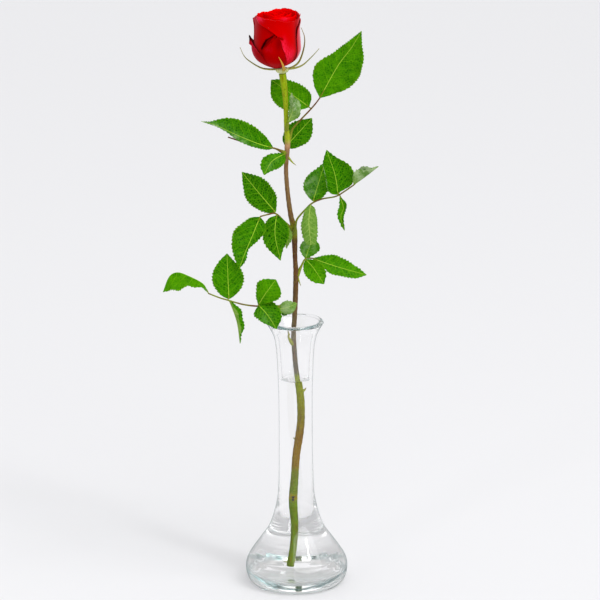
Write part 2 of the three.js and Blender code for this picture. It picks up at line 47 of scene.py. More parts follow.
def catmull(points, at, repeat=False):
    """Uniform Catmull-Rom through points at 0..1, which repeats its ends or else extends them."""
    pts = [np.array(p) for p in points]
    ends = (pts[0], pts[-1]) if repeat else (2 * pts[0] - pts[1], 2 * pts[-1] - pts[-2])
    pts = [ends[0], *pts, ends[1]]
    last = len(points) - 1
    place = at * last
    i = min(int(place), last - 1)
    t = place - i
    a, b, c, d = pts[i:i + 4]
    return 0.5 * (2 * b + (c - a) * t + (2 * a - 5 * b + 4 * c - d) * t ** 2
                  + (3 * b - a - 3 * c + d) * t ** 3)


def profile(points, steps):
    """(radius, height) rows along the curve through the given ones."""
    return [tuple(catmull(points, i / steps, repeat=True)) for i in range(steps + 1)]


def smooth_value(positions, values, at):
    """Cubic Hermite through values at uneven positions."""
    last = len(positions) - 1
    if at <= positions[0]:
        return values[0]
    if at >= positions[last]:
        return values[last]
    i = 0
    while at > positions[i + 1]:
        i += 1

    def slope(k):
        lo, hi = max(k - 1, 0), min(k + 1, last)
        return (values[hi] - values[lo]) / (positions[hi] - positions[lo])

    step = positions[i + 1] - positions[i]
    t = (at - positions[i]) / step
    r = 1 - t
    return ((1 + 2 * t) * r * r * values[i] + t * r * r * step * slope(i)
            + t * t * (3 - 2 * t) * values[i + 1] - t * t * r * step * slope(i + 1))


# ---- materials

BUMP_DEPTH = 0.0002


class Look:
    """A node material, built one node at a time; a socket given as a value is linked."""

    def __init__(self, name):
        self.material = bpy.data.materials.new(name)
        self.material.use_nodes = True
        self.tree = self.material.node_tree
        self.tree.nodes.clear()
        self.out = self.tree.nodes.new("ShaderNodeOutputMaterial")

    def add(self, kind, settings=None, **inputs):
        """A new node; an input's name has _ for its spaces, or is i and its number."""
        node = self.tree.nodes.new("ShaderNode" + kind)
        for key, value in (settings or {}).items():
            setattr(node, key, value)
        for key, value in inputs.items():
            numbered = key[0] == "i" and key[1:].isdigit()
            self.put(node.inputs[int(key[1:]) if numbered else key.replace("_", " ")], value)
        return node

    def put(self, socket, value):
        if isinstance(value, bpy.types.Node):
            value = value.outputs[0]
        if isinstance(value, bpy.types.NodeSocket):
            self.tree.links.new(value, socket)
        else:
            socket.default_value = linear(value) if isinstance(value, tuple) else value

    def math(self, operation, a, b=0, c=0):
        return self.add("Math", {"operation": operation}, i0=a, i1=b, i2=c).outputs[0]

    def times(self, a, b):
        return self.math("MULTIPLY", a, b)

    def times_plus(self, a, b, c):
        return self.math("MULTIPLY_ADD", a, b, c)

    def mix(self, share, a, b):
        return self.add("Mix", {"data_type": "RGBA"}, i0=share, i6=a, i7=b).outputs[2]

    def place(self, x, y, z=0):
        return self.add("CombineXYZ", X=x, Y=y, Z=z)

    def noise(self, place, scale, detail, rough=0.5):
        return self.add("TexNoise", Vector=place, Scale=scale, Detail=detail, Roughness=rough).outputs[0]

    def span(self, value, start, end, low=0, high=1, kind="LINEAR"):
        """low to high while the value goes from start to end."""
        return self.add("MapRange", {"interpolation_type": kind}, Value=value, From_Min=start, From_Max=end,
                        To_Min=low, To_Max=high).outputs[0]

    def ramp(self, value, *stops):
        node = self.add("ValToRGB", Fac=value)
        elements = node.color_ramp.elements
        while len(elements) < len(stops):
            elements.new(0.5)
        for element, (at, colour) in zip(elements, stops):
            element.position = at
            element.color = linear(colour)
        return node.outputs[0]

    def layers(self, colour, *coats):
        """The colour under coats of (mask, amount, colour)."""
        for mask, amount, coat in coats:
            colour = self.mix(self.times(mask, amount), colour, coat)
        return colour

    def attributes(self, *names):
        return [self.add("Attribute", {"attribute_name": name}).outputs["Fac"] for name in names]

    def finish(self, shader):
        self.put(self.out.inputs["Surface"], shader)
        return self.material

    def surface(self, colour, rough, gloss, height=None, strength=0, depth=BUMP_DEPTH):
        """Finish as an opaque surface; gloss is its specular level, strength its bump's."""
        shader = self.add("BsdfPrincipled", Base_Color=colour, Roughness=rough)
        shader.inputs["Specular IOR Level"].default_value = gloss
        if height is not None:
            bump = self.add("Bump", Height=height, Strength=strength, Distance=depth)
            self.put(shader.inputs["Normal"], bump)
        return self.finish(shader)


def linear(colour):
    """The linear colour of three 0-255 values; four are linear already."""
    if len(colour) == 4:
        return colour
    shares = [v / 255 for v in colour]
    return (*(v / 12.92 if v <= 0.04045 else ((v + 0.055) / 1.055) ** 2.4 for v in shares), 1)


# ---- objects and meshes

def new_object(name, data):
    obj = bpy.data.objects.new(name, data)
    bpy.context.scene.collection.objects.link(obj)
    return obj


def mesh_object(name, points, faces, materials, slots, attributes=None, smooth=True):
    """An object from points in m, the material slots of its faces and the attributes of its points."""
    mesh = bpy.data.meshes.new(name)
    mesh.from_pydata([tuple(p) for p in points], [], faces)
    for material in materials:
        mesh.materials.append(material)
    mesh.polygons.foreach_set("material_index", slots)
    for key, values in (attributes or {}).items():
        mesh.attributes.new(key, "FLOAT", "POINT").data.foreach_set("value", np.array(values, np.float32))
    if smooth:
        mesh.shade_smooth()
    mesh.update()
    return new_object(name, mesh)


def stand_for(obj, node):
    """Let a piece ride on the part's one body in the place of a CAD node."""
    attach(obj, "root")
    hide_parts(node)


def lathe(rows, segments):
    """Points and faces turned from (radius, height) rows in mm; a row at radius 0 is one point."""
    points, faces, rings = [], [], []
    for radius, height in rows:
        count = segments if radius else 1
        rings.append([len(points) + k % count for k in range(segments)])
        for k in range(count):
            turn = FULL_TURN * k / segments
            points.append((radius * math.cos(turn) * MM, radius * math.sin(turn) * MM, height * MM))
    for a, b in zip(rings, rings[1:]):
        for k in range(segments):
            n = (k + 1) % segments
            corners = [a[k], a[n], b[n], b[k]]
            faces.append([c for i, c in enumerate(corners) if c not in corners[:i]])
    return points, faces


# ---- camera, floor and light

# Metres, degrees, and mm for the lens.
CAMERA_PLACE = (0.003778, -3, 1.065145)
CAMERA_PITCH = 15.817
CAMERA_ROLL = -0.3891
CAMERA_LENS = 257.19
FAR_LIMIT = 100
# Light crosses the glass and the water many times before it leaves the foot.
BOUNCES = 48
FLOOR_COLOUR = (0.81, 0.81, 0.83, 1)
FLOOR_HALF_SIZE = 14
# The floor lies this far under the vase.
FLOOR_DROP = 0.0005
SKY_STRENGTH = 0.6
SUN_STRENGTH = 1.8
SUN_SPREAD = 60
SUN_WAY = (-0.5, 0.75, -1)
# Each lamp's name, place, target, width and height in m, and watts.
LAMPS = [
    ("softbox", (1.05, -1.1, 2.1), (0, 0, 0.2), (0.22, 0.8), 9),
    ("fill", (-1, -1.5, 0.7), (0, 0, 0.05), (0.3, 0.5), 3)]


def camera():
    scene = bpy.context.scene
    obj = new_object("camera", bpy.data.cameras.new("camera"))
    obj.data.lens = CAMERA_LENS
    obj.data.clip_end = FAR_LIMIT
    obj.matrix_world = (Matrix.Translation(CAMERA_PLACE)
                        @ Matrix.Rotation(math.radians(90 - CAMERA_PITCH), 4, "X")
                        @ Matrix.Rotation(math.radians(CAMERA_ROLL), 4, "Z"))
    scene.camera = obj
    scene.view_settings.view_transform = "Standard"
    for bounces in ("max_bounces", "transmission_bounces", "glossy_bounces", "transparent_max_bounces"):
        setattr(scene.cycles, bounces, BOUNCES)


def floor():
    size = FLOOR_HALF_SIZE
    corners = [(-size, -size, 0), (size, -size, 0), (size, size, 0), (-size, size, 0)]
    material = Look("floor").surface(FLOOR_COLOUR, 0.6, 0.1)
    obj = mesh_object("floor", corners, [(0, 1, 2, 3)], [material], [0], smooth=False)
    obj.location.z = -FLOOR_DROP


def aimed(way):
    """The turn that points a lamp along a direction."""
    return Vector(way).to_track_quat("-Z", "Y").to_matrix().to_4x4()


def studio():
    world = bpy.data.worlds.new("studio")
    bpy.context.scene.world = world
    world.use_nodes = True
    sky = world.node_tree.nodes["Background"]
    sky.inputs["Color"].default_value = (1, 1, 1, 1)
    sky.inputs["Strength"].default_value = SKY_STRENGTH
    sun = new_object("sun", bpy.data.lights.new("sun", "SUN"))
    sun.data.energy = SUN_STRENGTH
    sun.data.angle = math.radians(SUN_SPREAD)
    sun.matrix_world = aimed(SUN_WAY)
    for name, place, target, size, watts in LAMPS:
        light = new_object(name, bpy.data.lights.new(name, "AREA"))
        light.data.shape = "RECTANGLE"
        light.data.size, light.data.size_y = size
        light.data.energy = watts
        light.matrix_world = Matrix.Translation(place) @ aimed(Vector(target) - Vector(place))


camera()
floor()
studio()


# ---- vase and water

VASE_HEIGHT = 200
RIM_RADIUS = 20.9
NECK_RADIUS = 12.4
FOOT_RADIUS = 37.4
BORE_RADIUS = 9.7
CAVITY_FLOOR = 7.5
WATER_LEVEL = 156.4
WATER_TOP_RADIUS = 10
# The water stays this far inside the glass.
WALL_GAP = 0.02
# The water's curved edge: its width, height and rows, and where the side's rows end below it.
MENISCUS_WIDTH = 2.6
MENISCUS_HEIGHT = 1.1
MENISCUS_ROWS = 9
SIDE_ENDS_BELOW = 0.2
SEGMENTS = 128
OUTSIDE_STEPS = 150
LIP_STEPS = 16
INSIDE_STEPS = 288
# The flat underside ends this far inside the foot's lower edge.
UNDERSIDE_STEP = 1
# The faint rings inside: their depth, their pitch and the heights where they fade in and out.
RIPPLE = 0.14
RIPPLE_PITCH = 3.7
RIPPLE_FADE_IN = (12, 18)
RIPPLE_FADE_OUT = (34, 44)
GLASS_IOR = 1.5
WATER_IOR = 1.333
# How much of the edge colour shows, by how far along itself a surface is seen. The edge colours are the
# glass's teal tint with painted shade that darkens the edges.
EDGE_SHARES = [(0.65, 0), (0.85, 0.35), (1, 0.95)]
DRY_EDGE = (0.22, 0.34, 0.34, 1)
WET_EDGE = (0.7, 0.8, 0.8, 1)
WATER_EDGE = (0.6, 0.66, 0.66, 1)
# How much of the lamps' light each surface of glass or water lets straight through.
LAMPLIGHT_THROUGH = (0.55, 0.55, 0.55, 1)
VASE_OUTSIDE = [
    (32.5, 0), (35.6, 3.5), (FOOT_RADIUS, 10), (36.6, 17), (32.8, 24), (26.5, 33), (20.4, 42), (16.4, 53),
    (14, 64), (12.9, 76), (NECK_RADIUS, 104), (NECK_RADIUS, 140), (13, 162), (13.9, 178), (15.6, 188),
    (RIM_RADIUS - 2, 195), (RIM_RADIUS, VASE_HEIGHT - 1.9)]
VASE_LIP = [
    (RIM_RADIUS - 0.7, VASE_HEIGHT - 0.5), (RIM_RADIUS - 1.8, VASE_HEIGHT),
    (RIM_RADIUS - 2.9, VASE_HEIGHT - 0.4)]
VASE_INSIDE = [
    (25.5, CAVITY_FLOOR), (30.6, 10), (31.6, 15), (28.6, 23), (22.6, 32), (16.9, 41.5), (13.3, 52),
    (11.2, 63), (10.2, 75), (BORE_RADIUS, 104), (BORE_RADIUS, 140), (WATER_TOP_RADIUS, WATER_LEVEL),
    (11, 176), (11.9, 186), (13.5, 192), (15.7, 195.8), (17.7, VASE_HEIGHT - 1.7)]


def glass_look(name, ior, edge):
    """Clear glass or water; edge is the colour it takes where seen along its surface: its teal tint, with
    painted shade darkening the edges.
    """
    look = Look(name)
    grazing = look.add("LayerWeight", Blend=0.5).outputs["Facing"]
    share = look.ramp(grazing, *[(at, (much, much, much, 1)) for at, much in EDGE_SHARES])
    clear = look.add("BsdfPrincipled", Base_Color=(1, 1, 1, 1), Roughness=0, IOR=ior)
    clear.inputs["Transmission Weight"].default_value = 1
    # The edge colour: the glass's own teal tint, with painted shade for dark edges.
    edge_tint_and_shade = look.add("BsdfTransparent", Color=edge)
    seen = look.add("MixShader", i0=share, i1=clear, i2=edge_tint_and_shade)
    lit = look.add("BsdfTransparent", Color=LAMPLIGHT_THROUGH)
    lamp = look.add("LightPath").outputs["Is Shadow Ray"]
    return look.finish(look.add("MixShader", i0=lamp, i1=seen, i2=lit))


def inner_wall():
    """The bore's profile from the foot up, with its rings."""
    rows = []
    (starts, full), (wanes, ends) = RIPPLE_FADE_IN, RIPPLE_FADE_OUT
    for radius, height in profile(VASE_INSIDE, INSIDE_STEPS):
        strength = max(0, min(1, (height - starts) / (full - starts), (ends - height) / (ends - wanes)))
        rows.append((radius + RIPPLE * strength * math.sin(FULL_TURN * height / RIPPLE_PITCH), height))
    return rows


def vase():
    outside = profile(VASE_OUTSIDE, OUTSIDE_STEPS)
    lip = profile([outside[-1], *VASE_LIP, VASE_INSIDE[-1]], LIP_STEPS)[1:-1]
    underside = [(0, 0), (outside[0][0] - UNDERSIDE_STEP, 0)]
    rows = [*underside, *outside, *lip, *inner_wall()[::-1], (0, CAVITY_FLOOR)]
    points, faces = lathe(rows, SEGMENTS)
    first_inside = len(underside) + len(outside) + len(lip)
    touches_water = []
    for band, (one, other) in enumerate(zip(rows, rows[1:])):
        wet = band >= first_inside and max(one[1], other[1]) <= WATER_LEVEL + WALL_GAP / 2
        touches_water += [int(wet)] * SEGMENTS
    looks = [glass_look("clear_glass", GLASS_IOR, DRY_EDGE),
             glass_look("clear_glass_wet", GLASS_IOR / WATER_IOR, WET_EDGE)]
    stand_for(mesh_object("vase_glass", points, faces, looks, touches_water), "vase")


def water():
    """The water's body. Its side is clear, as the wet glass bends the light there; its top bends it."""
    bottom = CAVITY_FLOOR + WALL_GAP
    side = [(r - WALL_GAP, h) for r, h in inner_wall() if h < WATER_LEVEL - SIDE_ENDS_BELOW]
    side[0] = (side[0][0], bottom)
    edge = WATER_TOP_RADIUS - WALL_GAP
    top = [(edge - MENISCUS_WIDTH * t, WATER_LEVEL - MENISCUS_HEIGHT * (1 - (1 - t) ** 2))
           for t in np.linspace(0, 1, MENISCUS_ROWS)]
    rows = [(0, bottom), *side, *top, (0, WATER_LEVEL - MENISCUS_HEIGHT)]
    points, faces = lathe(rows, SEGMENTS)
    first_top = (len(side) + 1) * SEGMENTS
    slots = [int(i >= first_top) for i in range(len(faces))]
    clear = Look("water_side")
    looks = [clear.finish(clear.add("BsdfTransparent")), glass_look("water_surface", WATER_IOR, WATER_EDGE)]
    stand_for(mesh_object("water_body", points, faces, looks, slots), "water")


vase()
water()


# ---- dimensions shared with the part's source

# The stem's centre line as (x, height, radius).
STEM = [
    (-3.6, 8.6, 2.2), (-1.8, 24, 2.1), (-1, 42, 2.1), (-1.7, 62, 2.4), (-0.7, 82, 2.1), (0.2, 98, 2.1),
    (1.9, 113, 2.2), (2.9, 126, 2.1), (2.7, 142, 2.1), (1.4, 156, 1.9), (0, 169, 1.8), (-1.1, 190, 1.8),
    (-0.4, 200, 1.8), (0.4, 216, 1.9), (0.9, 235, 1.9), (0.4, 247, 1.7), (-0.2, 268, 2.3),
    (-2.3, 278, 1.9), (-4.1, 291, 1.7), (-5.4, 306, 1.6), (-5.6, 316, 1.6), (-4.9, 325, 1.8),
    (-4.4, 335, 2.1), (-5.2, 345, 1.7), (-5.4, 356, 1.7), (-5.8, 367, 2), (-6.7, 376.5, 2.4),
    (-7.7, 383.9, 2.7)]
# Thorns and stubs: (foot, tip, foot radius).
THORNS = [
    ((-3.2, 0, 12), (-8.2, 0, 12.8), 0.9), ((1.6, 0, 111), (-1.4, 0, 111.5), 1.3),
    ((2.6, 0, 147), (5.9, 0, 149.5), 1.3), ((-1.2, 0, 183), (-5.6, -1.5, 192), 1.7),
    ((1.6, 0, 236), (4.6, -1, 226), 0.7), ((-5, 0, 324), (1.8, -3.5, 317), 0.8)]
HIP_CENTRE = (-8, 0)
HIP_PROFILE = [(2.9, 384.6), (4.4, 385.8), (4.9, 387.2), (4.3, 388.2)]
SEPAL_WIDTH = 3.4
# A sepal's turn round the hip, how far its foot swings from that turn, and its (distance, height) path.
SEPALS = [
    {"turn": 180, "path": [(3, 386.9), (10, 387), (15.7, 388.4), (23, 393), (27, 397), (29.9, 403.5)]},
    {"turn": 2, "path": [(3, 386.9), (10, 388), (15, 390.2), (19.4, 394.2), (23.7, 398.8), (26.8, 402.5)]},
    {"turn": 97, "swing": 24, "width": 2.6, "warm": 1,
     "path": [(3, 386.6), (8, 388.2), (12.5, 391.5), (16, 396), (18.5, 400.3)]},
    {"turn": -35, "width": 2.4,
     "path": [(3, 386.9), (10, 387.6), (15.5, 391), (19.4, 400), (20, 408), (17, 415.5)]},
    {"turn": 245, "path": [(3, 386.9), (10, 387.2), (16, 389), (22, 394), (26, 399.5)]}]
BLOOM_CENTRE = (-12, 0)
BLOOM_BASE = 388.5
BLOOM_HEIGHT = 41.6
BLOOM_LEAN = 0.6
# The bloom's radius by the share of its height.
BULGE_AT = [0, 0.06, 0.15, 0.3, 0.45, 0.6, 0.8, 1]
BULGE_RADIUS = [3, 8.6, 13.8, 16.9, 16.9, 16.4, 16, 16.4]


def blade(rib, face, left, right, fold=10, **more):
    """A leaflet: its rib, the way its upper face looks, its half-widths left and right of the rib and the
    degrees by which both halves rise. More: curl, the further bend of its right and left half; wave, in
    mm; tip, its half-width there; hang, the ways its right and left half lie; tone, how light it is; grey,
    duller grey-green patches with a painted whitish sheen, as (share of its length, of its half-width,
    spread in each, amount)."""
    return {"rib": rib, "face": face, "left": left, "right": right, "fold": fold, **more}


# Each leaf's stalk, how green it is, and its leaflets.
LEAVES = {
    "small_top": ([(-5.2, -1, 343), (-4.4, -3, 346.5), (-4, -4, 348.6)], 0, [blade(
        [(-4, -4, 348.6), (-0.3, -6.5, 359.4), (-1.3, -9, 372)], (0.3, 1, -0.1), (1.5, 4.5, 6.2, 5, 2.6),
        (1.2, 2.5, 3.2, 3.2, 2.2), 20, wave=1.5, grey=[(0.7, 0, 0.3, 1, 0.9)])]),
    "top_right": ([(-4.2, 1, 333), (-2.2, 2.5, 338), (-0.6, 3.5, 342.5), (5, 5, 348.6),
        (11.4, 6.5, 355), (15.9, 6.5, 360.2), (19.2, 6, 364.8)], 0, [blade(
        [(19.2, 6, 364.8), (32, 2.5, 388.7), (42, -0.5, 403), (49, -3, 415.4)], (-0.1, -1, 0.25),
        (8, 14.3, 8.5, 6, 3), (6, 15.5, 17.5, 13, 5), 8, tone=0.95), blade(
        [(11.2, 8, 357.4), (-2.4, 11.5, 367), (-16, 14, 376.2)], (0.1, -1, 0.3), (4, 10, 13, 13, 9.5),
        (6.5, 9.5, 9.5, 8, 5), 12, tone=1)]),
    "back": ([(-4.8, 1, 326), (-5.4, 4, 327), (-5.9, 7, 328.3)], 0, [blade(
        [(-5.9, 7, 328.3), (3.9, 10.5, 338.3), (13.3, 13, 348)], (0, -1, 0.2), (5, 7.8, 9, 7.8, 4),
        (4.5, 7.3, 9.5, 9, 5.5), tone=0.1)]),
    "upper_left": ([(-5.5, 0, 325), (-9.9, -3, 327.9), (-14.9, -7, 330.9), (-31.4, -8, 334.3),
        (-47.1, -8.5, 339.5)], 0, [blade(
        [(-14.9, -7, 330.9), (-26.3, -10, 335.2), (-42, -14, 343), (-56, -17, 350.6), (-66, -19, 353.8)],
        (-0.1, -1, 0.4), (3, 4.5, 5.2, 1.6, 1.2), (3.5, 8, 11.3, 9.5, 1.8), 15, tone=0.4, curl=(0, 60),
        grey=[(0.75, 0.7, 0.28, 0.6, 0.9), (0.98, 0, 0.12, 2, 0.8)]), blade(
        [(-6.6, -5, 326), (-15.7, -8, 321.2), (-21.5, -11, 311.9)], (0, -1, 0.6), (4.5, 7, 7.7, 7, 3),
        (1.5, 3.2, 5.2, 6.5, 5), tone=0.6, grey=[(0.6, 0.2, 0.3, 0.5, 0.08)])]),
    "mid_left": ([(-0.8, 0, 267.5), (-3.8, -2.5, 271.5), (-7.4, -5, 276), (-13.2, -10, 282.9),
        (-18.8, -14, 283.4), (-24.3, -18, 283)], 0, [blade(
        [(-13.4, -10, 284), (-25.5, -15, 300), (-37.2, -20, 316.5)], (0, -1, 0.25), (4, 7.5, 10, 9.5, 5),
        (3, 8, 9.8, 9.8, 6), tone=-0.1), blade(
        [(-24.6, -18, 282.6), (-29.6, -22, 271), (-35, -27, 259.5), (-39.9, -32, 247.8)], (0, -1, 0.3),
        (5, 7.5, 5, 1.6, 2.6), (6, 10.2, 13.8, 12, 7), tone=0.12, wave=0.8), blade(
        [(-12.8, -11, 281.8), (-13.9, -14, 268), (-10.1, -17, 249.8)], (0.1, -1, 0.3),
        (5, 9.3, 10.5, 9.5, 3.5), (4.7, 7.5, 9, 9, 5), tone=-0.2), blade(
        [(-4.2, -4, 271.6), (-4.6, -6.5, 263.9), (-5.7, -8, 256.3)], (0.3, 1, 0), (1, 3, 3.8, 3.4, 2),
        (1, 2.4, 3, 2.6, 1.2))]),
    "mid_right": ([(0, -1, 265.5), (1, -4.5, 273), (2.4, -6, 278.1), (7.8, -8, 285),
        (13.3, -10, 290.7), (20.5, -12, 294.2), (30, -16, 297), (36.6, -19, 301.7), (43, -22, 307)], 0.8,
        [blade(
        [(43, -22, 307.3), (51.6, -25, 314.2), (60.5, -28, 321.9)], (-0.5, 0.1, 1), (3, 8, 9, 6, 2.5),
        (3, 8, 9, 6, 2.5), 55, wave=0.8, grey=[(0.62, 0, 0.45, 2, 0.8)]), blade(
        [(31.6, -17, 298.6), (29.5, -19, 313.6), (23.5, -19, 332.1)], (0.1, -1, 0.2),
        (5.5, 9, 9.3, 8.8, 7.2), (2, 10.3, 13.7, 12, 5), tone=0.35, curl=(10, 55),
        grey=[(0.6, 0.98, 0.4, 0.07, 1)]), blade(
        [(13.6, -10, 292), (18, -9, 306), (22.4, -6, 320)], (-0.2, -1, 0.2), (4.4, 9, 10.3, 8.3, 4),
        (4, 7, 8.6, 8, 5), tone=0.6, grey=[(0.3, 0.6, 0.3, 0.5, 0.4)]), blade(
        [(33.2, -17, 297.4), (35.5, -18, 288.9), (33.6, -20, 282.7), (36.1, -22, 273.2)], (-0.5, -1, 0.3),
        (1.5, 4.5, 3.5, 3.5, 2.5), (1.2, 3, 3.8, 2.8, 1.8), 20, curl=(40, 30)), blade(
        [(11.8, -10.5, 289.4), (10.6, -15, 277.8), (12, -17, 261.2)], (0.2, 1, -0.2),
        (2.6, 4.2, 5.2, 6.3, 5.8), (3.2, 4.4, 6, 6, 5.4), tone=0.15, tip=3.2)]),
    "low_right": ([(1.6, 0, 233.5), (4.7, 3, 239.6), (8, 6, 244.7), (13.4, 9, 244.2)], 0.5, [blade(
        [(8, 6, 245), (10.6, 9, 252), (13.5, 10, 260)], (0, -1, 0.5), (2.5, 5.2, 6.6, 6.3, 4.2),
        (2, 4.6, 7, 8, 6), tone=1, grey=[(0.5, 0.3, 0.5, 1, 0.25)]), blade(
        [(8.2, 6, 244.1), (13.7, 4.5, 238.1), (21.3, 1, 226.9)], (0, -1, 0.3), (1.8, 3.6, 5.6, 6.9, 5.4),
        (3.4, 6, 7.6, 7.9, 5.9), tone=0.95), blade(
        [(13.4, 9, 243.9), (31.6, 12.5, 236.5), (52.5, 16, 229.4)], (0.1, -1, 0.6),
        (2.2, 5.7, 7.9, 6.6, 3.9), (2, 4.5, 7.1, 6.3, 5.2), tone=0.8)]),
    "low_left": ([(0, 0, 209.5), (-4.5, -5, 212.2), (-10.8, -10, 213.7), (-18, -15, 215.2),
        (-28.1, -20, 216.6), (-38, -24, 219.2), (-47.4, -28, 223.2), (-54.5, -30, 226), (-62, -32, 229.7)],
        1, [blade(
        [(-62, -32, 229.7), (-65.8, -33, 237.2), (-76, -35, 243.6), (-84, -36, 246.6), (-90, -37, 243.6),
        (-94.5, -38, 232.7)], (-0.1, -0.35, 1), (1.5, 4, 8, 13, 9), (2, 5, 8.5, 9.5, 5), 0, tone=1,
        wave=0.7, grey=[(0.04, 0, 0.08, 2, 0.7)], hang=((-0.1, 0.9, -0.6), (0.05, -0.25, -1))), blade(
        [(-47.4, -28, 224.3), (-48, -27, 241), (-48.5, -25, 257.5)], (0, -1, 0.2),
        (4.6, 9, 11.5, 10.6, 6.6), (4.2, 9, 11.6, 10.4, 5.4), 8, tone=0.5), blade(
        [(-46.8, -28, 222.8), (-41.7, -31, 207.9), (-39.7, -32, 192)], (1, 0, 0.35),
        (2.6, 5.6, 6.2, 5.4, 2.8), (1.4, 2.6, 3, 2.5, 1.4), 50), blade(
        [(-26.2, -20, 217.5), (-20.7, -24, 227.5), (-13.4, -24, 237.5)], (0, -1, 0.5),
        (2, 4.5, 7.4, 9.4, 6.7), (1.6, 4.2, 7.7, 10.5, 8.8), tone=1), blade(
        [(-26, -21, 217.4), (-19.7, -27, 211.8), (-13.3, -30, 202.1)], (0, -1, 0.5),
        (3.8, 8.4, 9.7, 9.6, 7), (4.3, 8, 7.6, 6.4, 3), tone=0.05,
        grey=[(0.6, -0.3, 0.25, 0.5, 0.08)]), blade(
        [(-12, -11, 211.5), (-5, -11, 213), (1.6, -9, 215.2)], (0.2, 1, -0.3), (2, 4, 5, 5, 3),
        (2, 4, 5, 5, 3), grey=[(0.5, 0, 0.6, 2, 0.35)]), blade(
        [(-12, -10.5, 213.6), (-7.2, -8, 211.4), (-2.5, -5.5, 207.9)], (0, -1, 0.3), (1.5, 3.5, 5, 5, 3.5),
        (1.5, 4, 5.5, 5.5, 3.5))]),
}


# ---- shapes of the plant

# A direction that no tube starts along.
ACROSS_HINT = (0.31, 0.9, 0.3)
# The step, as a share of a curve, over which its direction is measured.
DIRECTION_STEP = 1e-3


class Shape:
    """Points in mm with values and faces with material slots, gathered into one mesh."""

    def __init__(self, *keys):
        self.points, self.faces, self.slots = [], [], []
        self.values = {key: [] for key in keys}

    def put(self, point, **values):
        self.points.append(point)
        for key, held in self.values.items():
            held.append(values.get(key, 0))
        return len(self.points) - 1

    def face(self, slot, *corners):
        self.faces.append(corners)
        self.slots.append(slot)

    def strip(self, slot, a, b, closed=False):
        """Quads between two rows of point numbers."""
        count = len(a)
        for k in range(count if closed else count - 1):
            n = (k + 1) % count
            self.face(slot, a[k], a[n], b[n], b[k])

    def tube(self, slot, path, radii, sides, **values):
        """A closed round bar along a path; values may be lists along the path."""
        def values_at(i):
            return {key: held[i] if hasattr(held, "__len__") else held for key, held in values.items()}

        path = np.array(path)
        across = np.cross(unit(path[1] - path[0]), ACROSS_HINT)
        rows = []
        for i, centre in enumerate(path):
            ahead = unit(path[min(i + 1, len(path) - 1)] - path[max(i - 1, 0)])
            across = unit(across - ahead * across.dot(ahead))
            third = np.cross(ahead, across)
            row = []
            for k in range(sides):
                angle = FULL_TURN * k / sides
                away = across * math.cos(angle) + third * math.sin(angle)
                row.append(self.put(centre + away * radii[i], turn=k / sides, **values_at(i)))
            rows.append(row)
        for a, b in zip(rows, rows[1:]):
            self.strip(slot, a, b, closed=True)
        start, end = self.put(path[0], **values_at(0)), self.put(path[-1], **values_at(-1))
        for k in range(sides):
            n = (k + 1) % sides
            self.face(slot, rows[0][n], rows[0][k], start)
            self.face(slot, rows[-1][k], rows[-1][n], end)

    def sheet(self, slot, cells):
        """A thin closed sheet from rows of (upper point, lower point, values)."""
        top, bottom = ([[self.put(cell[under], under=under, **cell[2]) for cell in row] for row in cells]
                       for under in (0, 1))
        for a, b in zip(top, top[1:]):
            self.strip(slot, a, b)
        for a, b in zip(bottom, bottom[1:]):
            self.strip(slot, b, a)
        self.strip(slot, [row[0] for row in top], [row[0] for row in bottom])
        self.strip(slot, [row[-1] for row in bottom], [row[-1] for row in top])
        self.strip(slot, bottom[0], top[0])
        self.strip(slot, top[-1], bottom[-1])

    def build(self, name, materials):
        points = np.array(self.points) * MM
        return mesh_object(name, points, self.faces, materials, self.slots, self.values)


def unit(v):
    return v / np.linalg.norm(v)


def along(points, count):
    """Even parameters of a curve, and its places, directions and distances from its start there."""
    step = DIRECTION_STEP
    at = np.linspace(0, 1, count)
    places = np.array([catmull(points, t) for t in at])
    ahead = np.array([catmull(points, t + step) - catmull(points, t - step)
                      for t in np.clip(at, step, 1 - step)])
    run = np.concatenate([[0], np.cumsum(np.linalg.norm(np.diff(places, axis=0), axis=1))])
    return at, places, ahead / np.linalg.norm(ahead, axis=1)[:, None], run


def spots(spec, key, x, y):
    """The sum of the soft spots under a key at a place."""
    return sum(amount * math.exp(-((x - cx) / dx) ** 2 - ((y - cy) / dy) ** 2)
               for cx, cy, dx, dy, amount in spec.get(key, ()))


# ---- leaves

# Sizes in mm.
LEAF_THICKNESS = 0.34
MARGIN_THINNING = 0.6
RIB_DEPTH = 0.25
RIB_HALF_WIDTH = 0.6
LENGTH_STEPS = 30
TOOTH_PITCH = 2.3
TOOTH_DEPTH = 0.8
TOOTH_VARIES = (0.3, 1.4)
TOOTH_ROWS = 5
FEWEST_TEETH = 6
HALF_COLUMNS = 9
# How much the columns crowd towards the rib.
COLUMN_CROWDING = 1.1
# How fast teeth and waves grow from the base and shrink towards the tip.
GROWS = 6
SHRINKS = 8
# Shares of a leaflet's length at which its half-widths are given.
LEAFLET_AT = [0, 0.07, 0.22, 0.42, 0.62, 0.82, 1]
LEAFLET_BASE = 0.5
LEAFLET_TIP = 0.2
THINNEST = 0.12
# A curled half bends from this share of its width outwards.
CURLS_FROM = 0.45
WAVE_HEIGHT = 0.5
WAVE_PER_MM = 0.55
LARGEST_PHASE = 6.3
# How far each half sags between rib and margin, as a share of its width.
HALF_SAG = 0.06
VEIN_PAIRS = 8
STALK_BASE_RADIUS = 0.9
STALK_END_RADIUS = 0.5
STALK_SIDES = 10
STALK_STEPS = 8
# How far a stalk swells where it leaves the stem, and over what length.
STALK_SWELL = 0.9
SWELL_LENGTH = 6.5
# A leaflet's own stalk: radii, sides, rows, how far into the blade it runs, and its least length.
OWN_STALK_RADII = (0.45, 0.4)
OWN_STALK_SIDES = 8
OWN_STALK_ROWS = 9
INTO_BLADE = 0.08
SHORTEST_STALK = 1.2


